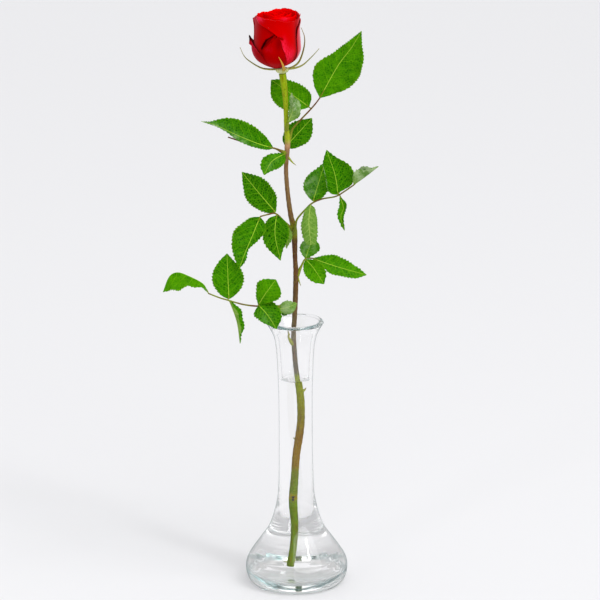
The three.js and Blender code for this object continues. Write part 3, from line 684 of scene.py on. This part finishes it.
def leaflet(shape, spec, rng):
    """One toothed, waved blade; its points' values place the veins and tell its faces apart."""
    rib = spec["rib"]
    length = along(rib, LENGTH_STEPS)[-1][-1]
    teeth = max(FEWEST_TEETH, round(length / TOOTH_PITCH))
    at, centres, ahead, distance = along(rib, teeth * TOOTH_ROWS + 1)
    curl = spec.get("curl", (0, 0))
    tone = spec.get("tone", rng.uniform(0, 1))
    phases = rng.uniform(0, LARGEST_PHASE, 2)
    wave = spec.get("wave", WAVE_HEIGHT)
    shares = [(k / HALF_COLUMNS) ** COLUMN_CROWDING for k in range(HALF_COLUMNS + 1)]
    columns = [-s for s in shares[:0:-1]] + shares
    depths = TOOTH_DEPTH * rng.uniform(*TOOTH_VARIES, (2, teeth + 1))
    cells = []
    for i, t in enumerate(at):
        normal = np.array(spec["face"])
        normal = unit(normal - ahead[i] * normal.dot(ahead[i]))
        side = np.cross(normal, ahead[i])
        ways = [unit(np.array(way)) for way in spec.get("hang", (-side, side))]
        fade = min(1, t * GROWS, (1 - t) * SHRINKS)
        saw = (i % TOOTH_ROWS) / (TOOTH_ROWS - 1) - 0.5
        halves = []
        for half, key in enumerate(("right", "left")):
            width = smooth_value(LEAFLET_AT, [LEAFLET_BASE, *spec[key], spec.get("tip", LEAFLET_TIP)], t)
            width = max(width + depths[half][i // TOOTH_ROWS] * saw * fade, THINNEST)
            reach, rise, last, placed = 0, 0, 0, {}
            for s in shares:
                bend = curl[half] * max(0, s - CURLS_FROM) / (1 - CURLS_FROM)
                angle = math.radians(spec["fold"] + bend)
                reach += (s - last) * width * math.cos(angle)
                rise += (s - last) * width * math.sin(angle)
                last = s
                ripple = wave * s * s * math.sin(distance[i] * WAVE_PER_MM + phases[half]) * fade
                placed[s] = (reach, rise + ripple - HALF_SAG * width * math.sin(math.pi * s))
            halves.append((width, placed))
        row = []
        for c in columns:
            half = int(c >= 0)
            width, placed = halves[half]
            reach, rise = placed[abs(c)]
            middle = centres[i] + ways[half] * reach + normal * rise
            above = LEAF_THICKNESS / 2 * (1 - MARGIN_THINNING * abs(c) ** 3)
            below = above + RIB_DEPTH * max(0, 1 - abs(c) * width / RIB_HALF_WIDTH) * (1 - t)
            row.append((middle + normal * above, middle - normal * below, dict(
                across=c * width, along=distance[i], tone=tone, grey=min(1, spots(spec, "grey", t, c)),
                spacing=length / VEIN_PAIRS, margin=abs(c), share=t)))
        cells.append(row)
    shape.sheet(0, cells)


def leaf(name, stalk, green, leaflets, seed, materials):
    """A leaf: its stalk, and each leaflet with its own."""
    rng = np.random.default_rng(seed)
    shape = Shape("across", "along", "under", "tone", "spacing", "margin", "turn", "share", "grey")
    at, places, _, run = along(stalk, STALK_STEPS * len(stalk))
    radii = STALK_BASE_RADIUS + (STALK_END_RADIUS - STALK_BASE_RADIUS) * at ** 0.5
    radii += STALK_SWELL * np.exp(-(run / SWELL_LENGTH) ** 2)
    shape.tube(1, places, radii, STALK_SIDES, along=run, tone=rng.uniform(0, 1), grey=green)
    for one in leaflets:
        base = np.array(one["rib"][0])
        nearest = min(places, key=lambda p: np.linalg.norm(base - p))
        inside = catmull(one["rib"], INTO_BLADE)
        far = np.linalg.norm(base - nearest) > SHORTEST_STALK
        points = [nearest, base, inside] if far else [nearest, inside]
        _, path, _, run = along(points, OWN_STALK_ROWS)
        shape.tube(1, path, np.linspace(*OWN_STALK_RADII, OWN_STALK_ROWS), OWN_STALK_SIDES,
                   along=run, tone=rng.uniform(0, 1), grey=green)
        leaflet(shape, one, rng)
    stand_for(shape.build("foliage_" + name, materials), "leaf_" + name)


def leaf_look():
    """A waxy upper face and a paler lower one, with rib, veins, net and blotches, a painted rim light at
    the margin, and grey patches with a painted sheen.
    """
    look = Look("rose_leaf")
    across, run, under, tone, spacing, margin, share, grey = look.attributes(
        "across", "along", "under", "tone", "spacing", "margin", "share", "grey")
    place = look.place(across, run, look.times(tone, 40))
    drift = look.noise(place, 0.25, 2)
    # The side veins curve forwards from the rib, those of the right half a little later.
    side = look.math("ABSOLUTE", across)
    right = look.math("GREATER_THAN", across, 0)
    bent = look.times(side, look.times_plus(side, 0.035, 0.62))
    phase = look.math("DIVIDE", look.math("SUBTRACT", run, bent), spacing)
    phase = look.math("ADD", phase, look.times(right, 0.45))
    cycle = look.math("FRACT", look.times_plus(drift, 0.5, phase))
    apart = look.times(look.math("ABSOLUTE", look.math("SUBTRACT", cycle, 0.5)), look.times(spacing, 0.8))
    thin = look.times_plus(margin, -0.16, 0.3)
    lateral = look.span(look.math("DIVIDE", apart, thin), 0.35, 1.3, 1, 0, "SMOOTHSTEP")
    lateral = look.times(lateral, look.math("MINIMUM", look.times(spacing, 0.28), 1))
    slim = look.math("DIVIDE", side, look.times_plus(share, -0.22, 0.34))
    rib = look.span(slim, 0.6, 1.2, 1, 0, "SMOOTHSTEP")
    net = look.add("TexVoronoi", {"feature": "DISTANCE_TO_EDGE"}, Vector=place, Scale=0.6).outputs[0]
    fine = look.span(net, 0, 0.3, 1, 0)
    grain = look.noise(place, 1.3, 4)
    blotch = look.span(look.noise(place, 0.22, 5, 0.6), 0.3, 0.7)
    mood = look.times_plus(tone, 0.55, look.times_plus(blotch, 0.6, -0.1))
    upper = look.layers(
        look.ramp(mood, (0.1, (14, 72, 0)), (0.5, (32, 101, 0)), (0.9, (68, 133, 0))),
        (look.span(grain, 0.42, 0.7), 0.58, (12, 66, 0)), (fine, 0.42, (92, 166, 4)),
        # The yellow-green coat at the margin is a painted rim light.
        (lateral, 0.32, (124, 184, 16)), (look.span(margin, 0.9, 1), 0.35, (140, 176, 30)),
        (rib, 0.9, (158, 196, 56)))
    lower = look.layers(
        look.ramp(mood, (0.2, (82, 128, 36)), (0.8, (124, 160, 66))),
        (fine, 0.3, (140, 172, 86)), (lateral, 0.5, (156, 184, 92)))
    # Grey patches turn a duller grey-green and carry a painted whitish sheen in blotches.
    patch = look.span(look.times_plus(blotch, 0.5, look.times(grain, 0.5)), 0.4, 0.62)
    colour = look.layers(
        look.mix(under, upper, look.mix(rib, lower, (164, 188, 90))),
        (grey, 0.75, (84, 122, 60)), (grey, patch, (178, 196, 154)))
    # The veins are sunk in the upper face and stand out on the lower one.
    raised = look.math("SUBTRACT", look.times(net, 0.25), look.times(lateral, 0.8))
    raised = look.math("SUBTRACT", raised, look.times(rib, 0.9))
    height = look.times(raised, look.times_plus(under, -1.6, 1))
    return look.surface(colour, look.times_plus(under, 0.25, 0.4), 0.02, height, 0.5, 0.0003)


def stalk_look():
    """Green by the stem and browner along the way; the "grey" value keeps some green."""
    look = Look("leaf_stalk")
    run, tone, turn, green = look.attributes("along", "tone", "turn", "grey")
    place = look.place(look.times(turn, 6), run, look.times(tone, 30))
    patch = look.noise(place, 0.12, 3)
    streak = look.noise(place, 1.6, 3)
    warm = look.math("ADD", patch, look.times_plus(look.math("MINIMUM", run, 30), 0.011, -0.2))
    warm = look.times_plus(green, -0.2, warm)
    colour = look.ramp(warm, (0.36, (130, 146, 30)), (0.5, (118, 106, 36)), (0.64, (112, 66, 36)))
    colour = look.layers(colour, (streak, 0.5, (82, 72, 30)))
    return look.surface(colour, 0.5, 0.12, streak, 0.4)


def foliage():
    materials = [leaf_look(), stalk_look()]
    for seed, (name, parts) in enumerate(LEAVES.items()):
        leaf(name, *parts, seed, materials)


# ---- stem

STEM_SIDES = 28
STEM_STEP = 0.9
# How uneven the stem is in mm, and its two waves in radians per mm.
STEM_UNEVEN = 0.08
STEM_WAVES = (1.3, 0.31)
# The height in mm at the far end of the stem's ramp of colours.
RAMP_HEIGHT = 400
THORN_ROWS = 14
THORN_SIDES = 12
THORN_SAG = 0.9
THORN_FOOT = 1.1
THORN_TAPER = 0.92
THORN_POINT = 1.6
# Where a thorn's tip and a scar lie in the ramp from green to nearly black.
TIP_SHADE = 0.8
SCAR_SHADE = 1
SCARS = [((-1.8, -1.9, 66.2), (-1.8, -3.1, 66.4), 0.9), ((-1.8, -1.9, 64.2), (-1.8, -3, 64.2), 0.8)]
# (height in mm, colour) up the stem.
STEM_COLOURS = [
    (0, (100, 126, 0)), (62, (102, 134, 0)), (65.5, (160, 138, 0)), (69, (104, 130, 0)),
    (84, (108, 126, 0)), (90, (134, 108, 0)), (112, (134, 100, 0)), (128, (126, 120, 0)),
    (157, (136, 154, 0)), (161, (98, 94, 80)), (198, (104, 92, 72)), (206, (112, 92, 62)),
    (222, (96, 70, 46)), (260, (92, 60, 42)), (267, (150, 160, 30)), (272, (140, 140, 40)),
    (277, (112, 86, 56)), (326, (136, 106, 76)), (331, (176, 132, 100)), (336, (150, 168, 30)),
    (393, (132, 158, 8))]


def stem_look():
    """Zones of green and brown with streaks, specks and light dots."""
    look = Look("rose_stem")
    height, turn = look.attributes("height", "turn")
    round_stem = look.times(turn, 12)
    streak = look.noise(look.place(round_stem, look.times(height, 0.16)), 0.7, 6, 0.7)
    speck = look.noise(look.place(round_stem, height), 0.6, 5, 0.75)
    spot_place = look.place(round_stem, look.times(height, 0.35))
    spot = look.add("TexVoronoi", Vector=spot_place, Scale=0.9).outputs[0]
    sway = look.math("SUBTRACT", streak, 0.5)
    sway = look.times_plus(sway, 0.02, look.math("DIVIDE", height, RAMP_HEIGHT))
    dots = look.span(spot, 0.12, 0.2, 1, 0)
    colour = look.layers(
        look.ramp(sway, *[(z / RAMP_HEIGHT, colour) for z, colour in STEM_COLOURS]),
        (look.span(streak, 0.5, 0.66), 0.7, (106, 56, 10)),
        (look.span(speck, 0.54, 0.7), 0.4, (184, 182, 66)),
        (look.span(speck, 0.44, 0.3), 0.65, (44, 40, 14)), (dots, 0.35, (156, 138, 70)))
    return look.surface(colour, 0.48, 0.04, look.math("ADD", streak, dots), 0.5)


def thorn_look():
    look = Look("rose_thorn")
    colour = look.ramp(*look.attributes("height"), (0, (136, 142, 44)), (0.56, (150, 156, 52)),
                       (TIP_SHADE, (96, 70, 34)), (SCAR_SHADE, (22, 14, 4)))
    return look.surface(colour, 0.45, 0.2)


def stem():
    shape = Shape("height", "turn")
    _, heights, radii = zip(*STEM)
    count = int((heights[-1] - heights[0]) / STEM_STEP)
    path = along([(x, 0, z) for x, z, _ in STEM], count)[1]
    often, seldom = STEM_WAVES
    thick = [smooth_value(heights, radii, z) + STEM_UNEVEN * math.sin(z * often) * math.sin(z * seldom)
             for z in path[:, 2]]
    shape.tube(0, path, thick, STEM_SIDES, height=path[:, 2])
    share = np.linspace(0, 1, THORN_ROWS)
    for i, (foot, tip, radius) in enumerate(THORNS + SCARS):
        shade = share * TIP_SHADE if i < len(THORNS) else SCAR_SHADE
        foot, tip = np.array((foot, tip))
        sag = np.array([0, 0, -THORN_SAG])
        path = [foot + (tip - foot) * s + sag * math.sin(math.pi * s) for s in share]
        size = [THORN_FOOT * radius * (1 - THORN_TAPER * s ** THORN_POINT) for s in share]
        shape.tube(1, path, size, THORN_SIDES, height=shade)
    stand_for(shape.build("rose_stem", [stem_look(), thorn_look()]), "stem")


# ---- calyx

HIP_SIDES = 40
HIP_STEPS = 16
# The hip's faint lobes: their number, their height as a share of its radius, and its grain's step.
HIP_LOBES = 5
LOBE_HEIGHT = 0.025
HIP_GRAIN = 0.7
# Where the hip and a sepal's foot lie in the run of colours, in mm.
HIP_RUN = 2
SEPAL_RUN = 5
SEPAL_ROWS = 48
SEPAL_HALF_COLUMNS = 4
SEPAL_HALF_THICKNESS = 0.42
SEPAL_THINNING = 0.55
SEPAL_EDGE_THINNING = 0.7
SEPAL_TIP = 0.12
# A sepal's width: the power it narrows by, its share at the foot, and how fast it widens.
SEPAL_TAPER = 1.3
SEPAL_FOOT = 0.75
SEPAL_WIDENS = 2
SEPAL_CUP = 0.32


def around(centre, turn, distance, height):
    """The point at a turn in degrees from the right (+X) by way of the front (-Y)."""
    angle = math.radians(turn)
    x, y = distance * math.cos(angle), distance * math.sin(angle)
    return np.array([centre[0] + x, centre[1] - y, height])


def calyx_look():
    """Yellow-green, whitish on the hip; "warm" turns the front sepal golden towards its tip."""
    look = Look("rose_calyx")
    run, across, tone, warm = look.attributes("along", "across", "tone", "warm")
    grain = look.noise(look.place(across, run, look.times(tone, 20)), 0.8, 4)
    colour = look.ramp(look.math("DIVIDE", run, 40), (0, (164, 166, 20)), (0.25, (150, 154, 44)),
                       (0.7, (120, 120, 30)), (1, (146, 128, 70)))
    # Whitish green on the hip and the sepals' feet, fading up each sepal.
    whitish_patch = look.span(look.times_plus(run, -0.025, grain), 0.3, 0.5)
    colour = look.layers(
        colour, (warm, look.math("DIVIDE", run, 22), (214, 140, 10)),
        (grain, 0.35, (176, 186, 116)), (whitish_patch, 0.7, (206, 212, 168)))
    return look.surface(colour, 0.55, 0.15, grain, 0.4)


def sepal(shape, spec, tone):
    last = len(spec["path"]) - 1
    points = [around(HIP_CENTRE, spec["turn"] - spec.get("swing", 0) * (1 - i / last), d, h)
              for i, (d, h) in enumerate(spec["path"])]
    at, centres, ahead, run = along(points, SEPAL_ROWS + 1)
    side = around((0, 0), spec["turn"] + 90, 1, 0)
    cells = []
    for i, t in enumerate(at):
        up = unit(np.cross(side, ahead[i]))
        narrowed = (1 - t ** SEPAL_TAPER) * min(1, SEPAL_FOOT + SEPAL_WIDENS * t)
        half = spec.get("width", SEPAL_WIDTH) / 2 * narrowed + SEPAL_TIP
        row = []
        for c in np.linspace(-1, 1, 2 * SEPAL_HALF_COLUMNS + 1):
            thick = SEPAL_HALF_THICKNESS * (1 - SEPAL_THINNING * t) * (1 - SEPAL_EDGE_THINNING * c * c)
            middle = centres[i] + side * c * half + up * SEPAL_CUP * half * c * c
            row.append((middle + up * thick, middle - up * thick, dict(
                along=run[i] + SEPAL_RUN, across=c * half, tone=tone, warm=spec.get("warm", 0))))
        cells.append(row)
    shape.sheet(0, cells)


def calyx():
    shape = Shape("along", "across", "tone", "warm")
    rows = []
    low, high = (0, HIP_PROFILE[0][1]), (0, HIP_PROFILE[-1][1])
    for radius, height in [low, *profile(HIP_PROFILE, HIP_STEPS), high]:
        row = []
        for k in range(HIP_SIDES):
            turn = 360 * k / HIP_SIDES
            swell = radius * (1 + LOBE_HEIGHT * math.cos(math.radians(HIP_LOBES * turn)))
            point = around(HIP_CENTRE, -turn, swell, height)
            row.append(shape.put(point, along=HIP_RUN, across=k * HIP_GRAIN, tone=0.5))
        rows.append(row)
    for a, b in zip(rows, rows[1:]):
        shape.strip(0, a, b, closed=True)
    for i, spec in enumerate(SEPALS):
        sepal(shape, spec, i / len(SEPALS))
    stand_for(shape.build("rose_calyx", [calyx_look()]), "calyx")


# ---- bloom

PETAL_THICKNESS = 0.4
PETAL_ROWS = 48
PETAL_COLUMNS = 44
# The rim's nicks: depth as a share of the bloom's height, waves across it, and a shift by phase.
NICKS = [(0.007, 7, 1), (0.004, 17, 2), (0.003, 41, 3)]
RUFFLE = 0.25
RUFFLE_WAVES = 5
# How far the phase of nicks and ruffles goes from the first petal to the last.
PHASES = 40
# Shares of a petal's reach at which its two side edges are given.
PETAL_AT = [0, 0.15, 0.3, 0.45, 0.6, 0.7, 0.8, 0.88, 1]


def petal_of(to, start, rim, size, roll, edge, **more):
    """A petal: its side edges as turns in degrees, its rim as shares of the bloom's height evenly from one
    to the other, its size at both as a share of the bulge, and how far its rim and both edges roll out
    in mm. More: shade, how much painted shade darkens it; pale, how much a painted sheen whitens
    it towards pink where seen along its face; stains as (turn, share, spread in each,
    amount), painted shade where positive and painted pink highlight where negative; creases,
    lines of painted shadow, as (start, end, both widths, amount)."""
    return {"to": to, "from": start, "rim": rim, "size": size, "roll": roll, "edge": edge, **more}


# The shade values, spots and crease lines in this table are painted shade and painted pink highlight, set
# petal by petal.
PETALS = [petal_of(
    [50, 58, 67, 75, 81, 94, 115, 140, 150], [20, 18, 26, 31, 32, 31, 26, 8, -2],
    [0.95, 0.94, 0.92, 0.9, 0.88, 0.87, 0.89, 0.94], (1.01, 0.975), 0.9, (0.5, 0), pale=0.8,
    stains=[(30, 0.5, 7, 0.4, 0.6), (30, 0.2, 8, 0.1, 0.3), (74, 0.42, 10, 0.15, -0.6),
    (56, 0.27, 16, 0.13, -0.6), (138, 0.93, 10, 0.06, -1.3), (88, 0.25, 25, 0.3, 0.15)]), petal_of(
    [170, 178, 184, 188, 190, 192, 193, 193, 190], [95, 92, 90, 88, 88, 88, 90, 94, 100],
    [0.86, 0.89, 0.91, 0.92, 0.91, 0.88], (0.96, 0.92), 0.3, (1.6, 0), pale=0.9, shade=0.25,
    stains=[(184, 0.78, 5, 0.16, -0.9), (192, 0.86, 3, 0.04, 1)],
    creases=[((131, 0.4), (119, 0.55), 0.95, 0.6, 1), ((119, 0.55), (95, 0.65), 0.6, 0.35, 0.85),
    ((122, 0.47), (100, 0.61), 1.7, 0.6, 0.5)]), petal_of(
    [112, 120, 129, 134, 136, 136, 135, 134, 130], [44, 48, 52, 56, 60, 62, 64, 68, 74],
    [0.34, 0.4, 0.46, 0.53, 0.59, 0.62, 0.6], (1.015, 0.97), 0.8, (0, 0), pale=0.8, shade=0.32,
    stains=[(84, 0.5, 9, 0.14, 0.3), (128, 0.25, 7, 0.15, 0.45), (112, 0.4, 14, 0.05, -0.1)]), petal_of(
    [205, 212, 218, 222, 224, 224, 222, 218, 210], [104, 110, 117, 122, 127, 132, 140, 152, 168],
    [0.43, 0.49, 0.54, 0.55, 0.52, 0.44], (1.05, 1.03), 2.6, (0.5, 0.2), pale=0.8, shade=0.45,
    stains=[(180, 0.54, 18, 0.05, 0.8), (146, 0.42, 7, 0.07, -0.6), (162, 0.32, 8, 0.14, -0.9),
    (186, 0.3, 12, 0.2, 0.3), (170, 0.44, 4, 0.03, -1.6), (166, 0.36, 3, 0.025, -1.6),
    (171, 0.29, 4, 0.02, -1.4)]), petal_of(
    [22, 20, 26, 30, 31, 31, 29, 26, 14], [-40, -46, -52, -56, -58, -58, -56, -52, -44],
    [0.79, 0.83, 0.85, 0.85, 0.83, 0.79], (1.02, 1.04), 0.7, (0.3, 0.8), pale=3.2, shade=0.1), petal_of(
    [270, 280, 288, 294, 296, 296, 294, 290, 280], [180, 176, 174, 172, 172, 172, 174, 178, 186],
    [0.82, 0.88, 0.9, 0.9, 0.88, 0.82], (1, 0.95), 1.2, (0.5, 0.5), pale=1, shade=0.15), petal_of(
    [10, 14, 18, 20, 20, 18, 14, 8, 0], [-110, -118, -124, -128, -130, -130, -128, -122, -112],
    [0.88, 0.93, 0.96, 0.96, 0.93, 0.88], (0.94, 0.94), 1.2, (0, 0.5), pale=1), petal_of(
    [120, 128, 134, 138, 140, 142, 142, 140, 134], [-20, -26, -30, -32, -32, -30, -28, -22, -14],
    [0.9, 0.93, 0.94, 0.94, 0.93, 0.92, 0.9], (0.88, 0.8), 0.4, (0.3, 0),
    stains=[(64, 0.92, 12, 0.04, -0.5), (132, 0.93, 8, 0.04, -0.9)]), petal_of(
    [250, 256, 262, 266, 268, 268, 266, 262, 254], [110, 106, 102, 100, 98, 98, 100, 104, 112],
    [0.89, 0.93, 0.94, 0.94, 0.93, 0.9], (0.86, 0.78), 0.5, (0.3, 0)), petal_of(
    [366, 370, 376, 380, 382, 382, 380, 376, 368], [232, 228, 224, 222, 220, 220, 222, 226, 234],
    [0.9, 0.95, 0.97, 0.97, 0.95, 0.92], (0.84, 0.76), 0.5, (0.3, 0)), petal_of(
    [95, 100, 104, 108, 110, 110, 108, 104, 98], [-50, -54, -58, -60, -62, -62, -60, -56, -48],
    [0.92, 0.95, 0.96, 0.96, 0.95, 0.92], (0.7, 0.6), 0.2, (0.3, 0)), petal_of(
    [215, 220, 226, 230, 232, 232, 230, 226, 218], [70, 66, 62, 60, 58, 58, 60, 64, 72],
    [0.92, 0.95, 0.97, 0.97, 0.95, 0.92], (0.62, 0.52), 0.2, (0.3, 0)), petal_of(
    [330, 336, 342, 346, 348, 348, 346, 342, 334], [185, 180, 176, 174, 172, 172, 174, 178, 186],
    [0.92, 0.95, 0.97, 0.97, 0.95, 0.92], (0.54, 0.44), 0, (0.3, 0)), petal_of(
    [100, 106, 112, 116, 118, 118, 116, 112, 104], [-60, -66, -72, -76, -78, -78, -76, -72, -64],
    [0.92, 0.95, 0.97, 0.97, 0.95, 0.92], (0.42, 0.3), 0, (0.2, 0)), petal_of(
    [270, 276, 282, 286, 288, 288, 286, 282, 274], [100, 94, 88, 84, 82, 82, 84, 88, 96],
    [0.92, 0.95, 0.96, 0.96, 0.95, 0.92], (0.32, 0.2), 0, (0.2, 0))]


def bloom_point(turn, radius, share):
    centre = (BLOOM_CENTRE[0] + BLOOM_LEAN * share, BLOOM_CENTRE[1])
    return around(centre, turn, radius, BLOOM_BASE + BLOOM_HEIGHT * share)


def crease_shadow(turn, share, start, end, first, last, amount):
    """How much painted shadow a crease lays on a place on a petal; its width tapers from first to last."""
    scale = np.array([math.radians(1) * max(BULGE_RADIUS), BLOOM_HEIGHT])
    place, a, b = (np.array(v) * scale for v in ((turn, share), start, end))
    run = min(max((place - a).dot(b - a) / (b - a).dot(b - a), 0), 1)
    away = np.linalg.norm(place - a - run * (b - a))
    return amount * math.exp(-(away / (first + (last - first) * run)) ** 2)


def petal(shape, spec, tone):
    phase = PHASES * tone
    rim = spec["rim"][::-1]
    rim_at = np.linspace(-1, 1, len(rim))
    acrosses = [1 - 2 * j / PETAL_COLUMNS for j in range(PETAL_COLUMNS + 1)]
    cells = []
    for i in range(PETAL_ROWS + 1):
        up = i / PETAL_ROWS
        to, start = (smooth_value(PETAL_AT, spec[key], up) for key in ("to", "from"))
        row = []
        for across in acrosses:
            nicks = sum(depth * math.sin(across * waves + shift * phase) for depth, waves, shift in NICKS)
            share = (smooth_value(rim_at, rim, across) + nicks) * up
            left = (across + 1) / 2
            size = spec["size"][1] + (spec["size"][0] - spec["size"][1]) * left
            edge = spec["edge"][0] * max(across, 0) ** 8 + spec["edge"][1] * max(-across, 0) ** 8
            ruffle = RUFFLE * math.sin(across * RUFFLE_WAVES + phase) * up ** 3
            roll = spec["roll"] * up ** 9 + edge * up ** 2 + ruffle
            radius = size * smooth_value(BULGE_AT, BULGE_RADIUS, share) + roll
            turn = start + (to - start) * left
            outside, inside = (bloom_point(turn, r, share) for r in (radius, radius - PETAL_THICKNESS))
            # The petal's own painted shade, with spots and crease lines of painted shade, and spots of
            # painted pink highlight where negative.
            stain = spots(spec, "stains", turn, share)
            stain += sum(crease_shadow(turn, share, *one) for one in spec.get("creases", ()))
            row.append((outside, inside, dict(
                along=up, across=across, tone=tone, outer=spec.get("pale", 0),
                shade=min(1, spec.get("shade", 0) + max(stain, 0)), glow=max(-stain, 0))))
        cells.append(row)
    shape.sheet(0, cells)


def petal_look():
    """Red with ribs and blotches, painted pink highlights in flecks, painted shade, and a painted
    whitish-pink sheen at grazing edges.
    """
    look = Look("rose_petal")
    run, across, tone, outer, shade, glow = look.attributes(
        "along", "across", "tone", "outer", "shade", "glow")
    apart = look.times(tone, 30)
    place = look.place(look.times(across, 9), look.times(run, 2), apart)
    ribs = look.noise(place, 1.6, 5)
    blotch = look.noise(place, 0.35, 3)
    # The inner petals, which have no painted sheen, get a lighter red than the outer ones: painted light
    # against the shade deep in the bloom.
    colour = look.layers(look.ramp(outer, (0, (250, 0, 0)), (0.7, (202, 0, 0))),
                         (blotch, 0.4, (172, 0, 0)), (ribs, 0.2, (150, 0, 0)))
    # Painted pink highlights, broken into flecks, where the petal's highlight value is set.
    fleck = look.noise(look.place(look.times(across, 4), look.times(run, 5), apart), 3.2, 4)
    pink = look.times(glow, look.span(fleck, 0.4, 0.6, 0.25, 1.6))
    colour = look.mix(pink, colour, (240, 38, 74))
    # Painted sheen: the outer petals whiten towards pink where seen along their face, less near their foot.
    graze = look.add("LayerWeight", Blend=0.35).outputs["Facing"]
    pale = look.times(look.math("POWER", graze, 3), look.times(outer, 0.8))
    pale = look.times(pale, look.math("MINIMUM", look.times(run, 3), 1))
    colour = look.mix(pale, colour, (240, 150, 165))
    # Painted shade: darker red by the petal's shade value.
    colour = look.mix(shade, colour, (44, 0, 2))
    return look.surface(colour, 0.6, 0, ribs, 0.3)


def bloom():
    shape = Shape("along", "across", "tone", "outer", "shade", "glow")
    for i, spec in enumerate(PETALS):
        petal(shape, spec, i / len(PETALS))
    stand_for(shape.build("rose_bloom", [petal_look()]), "bloom")


foliage()
stem()
calyx()
bloom()
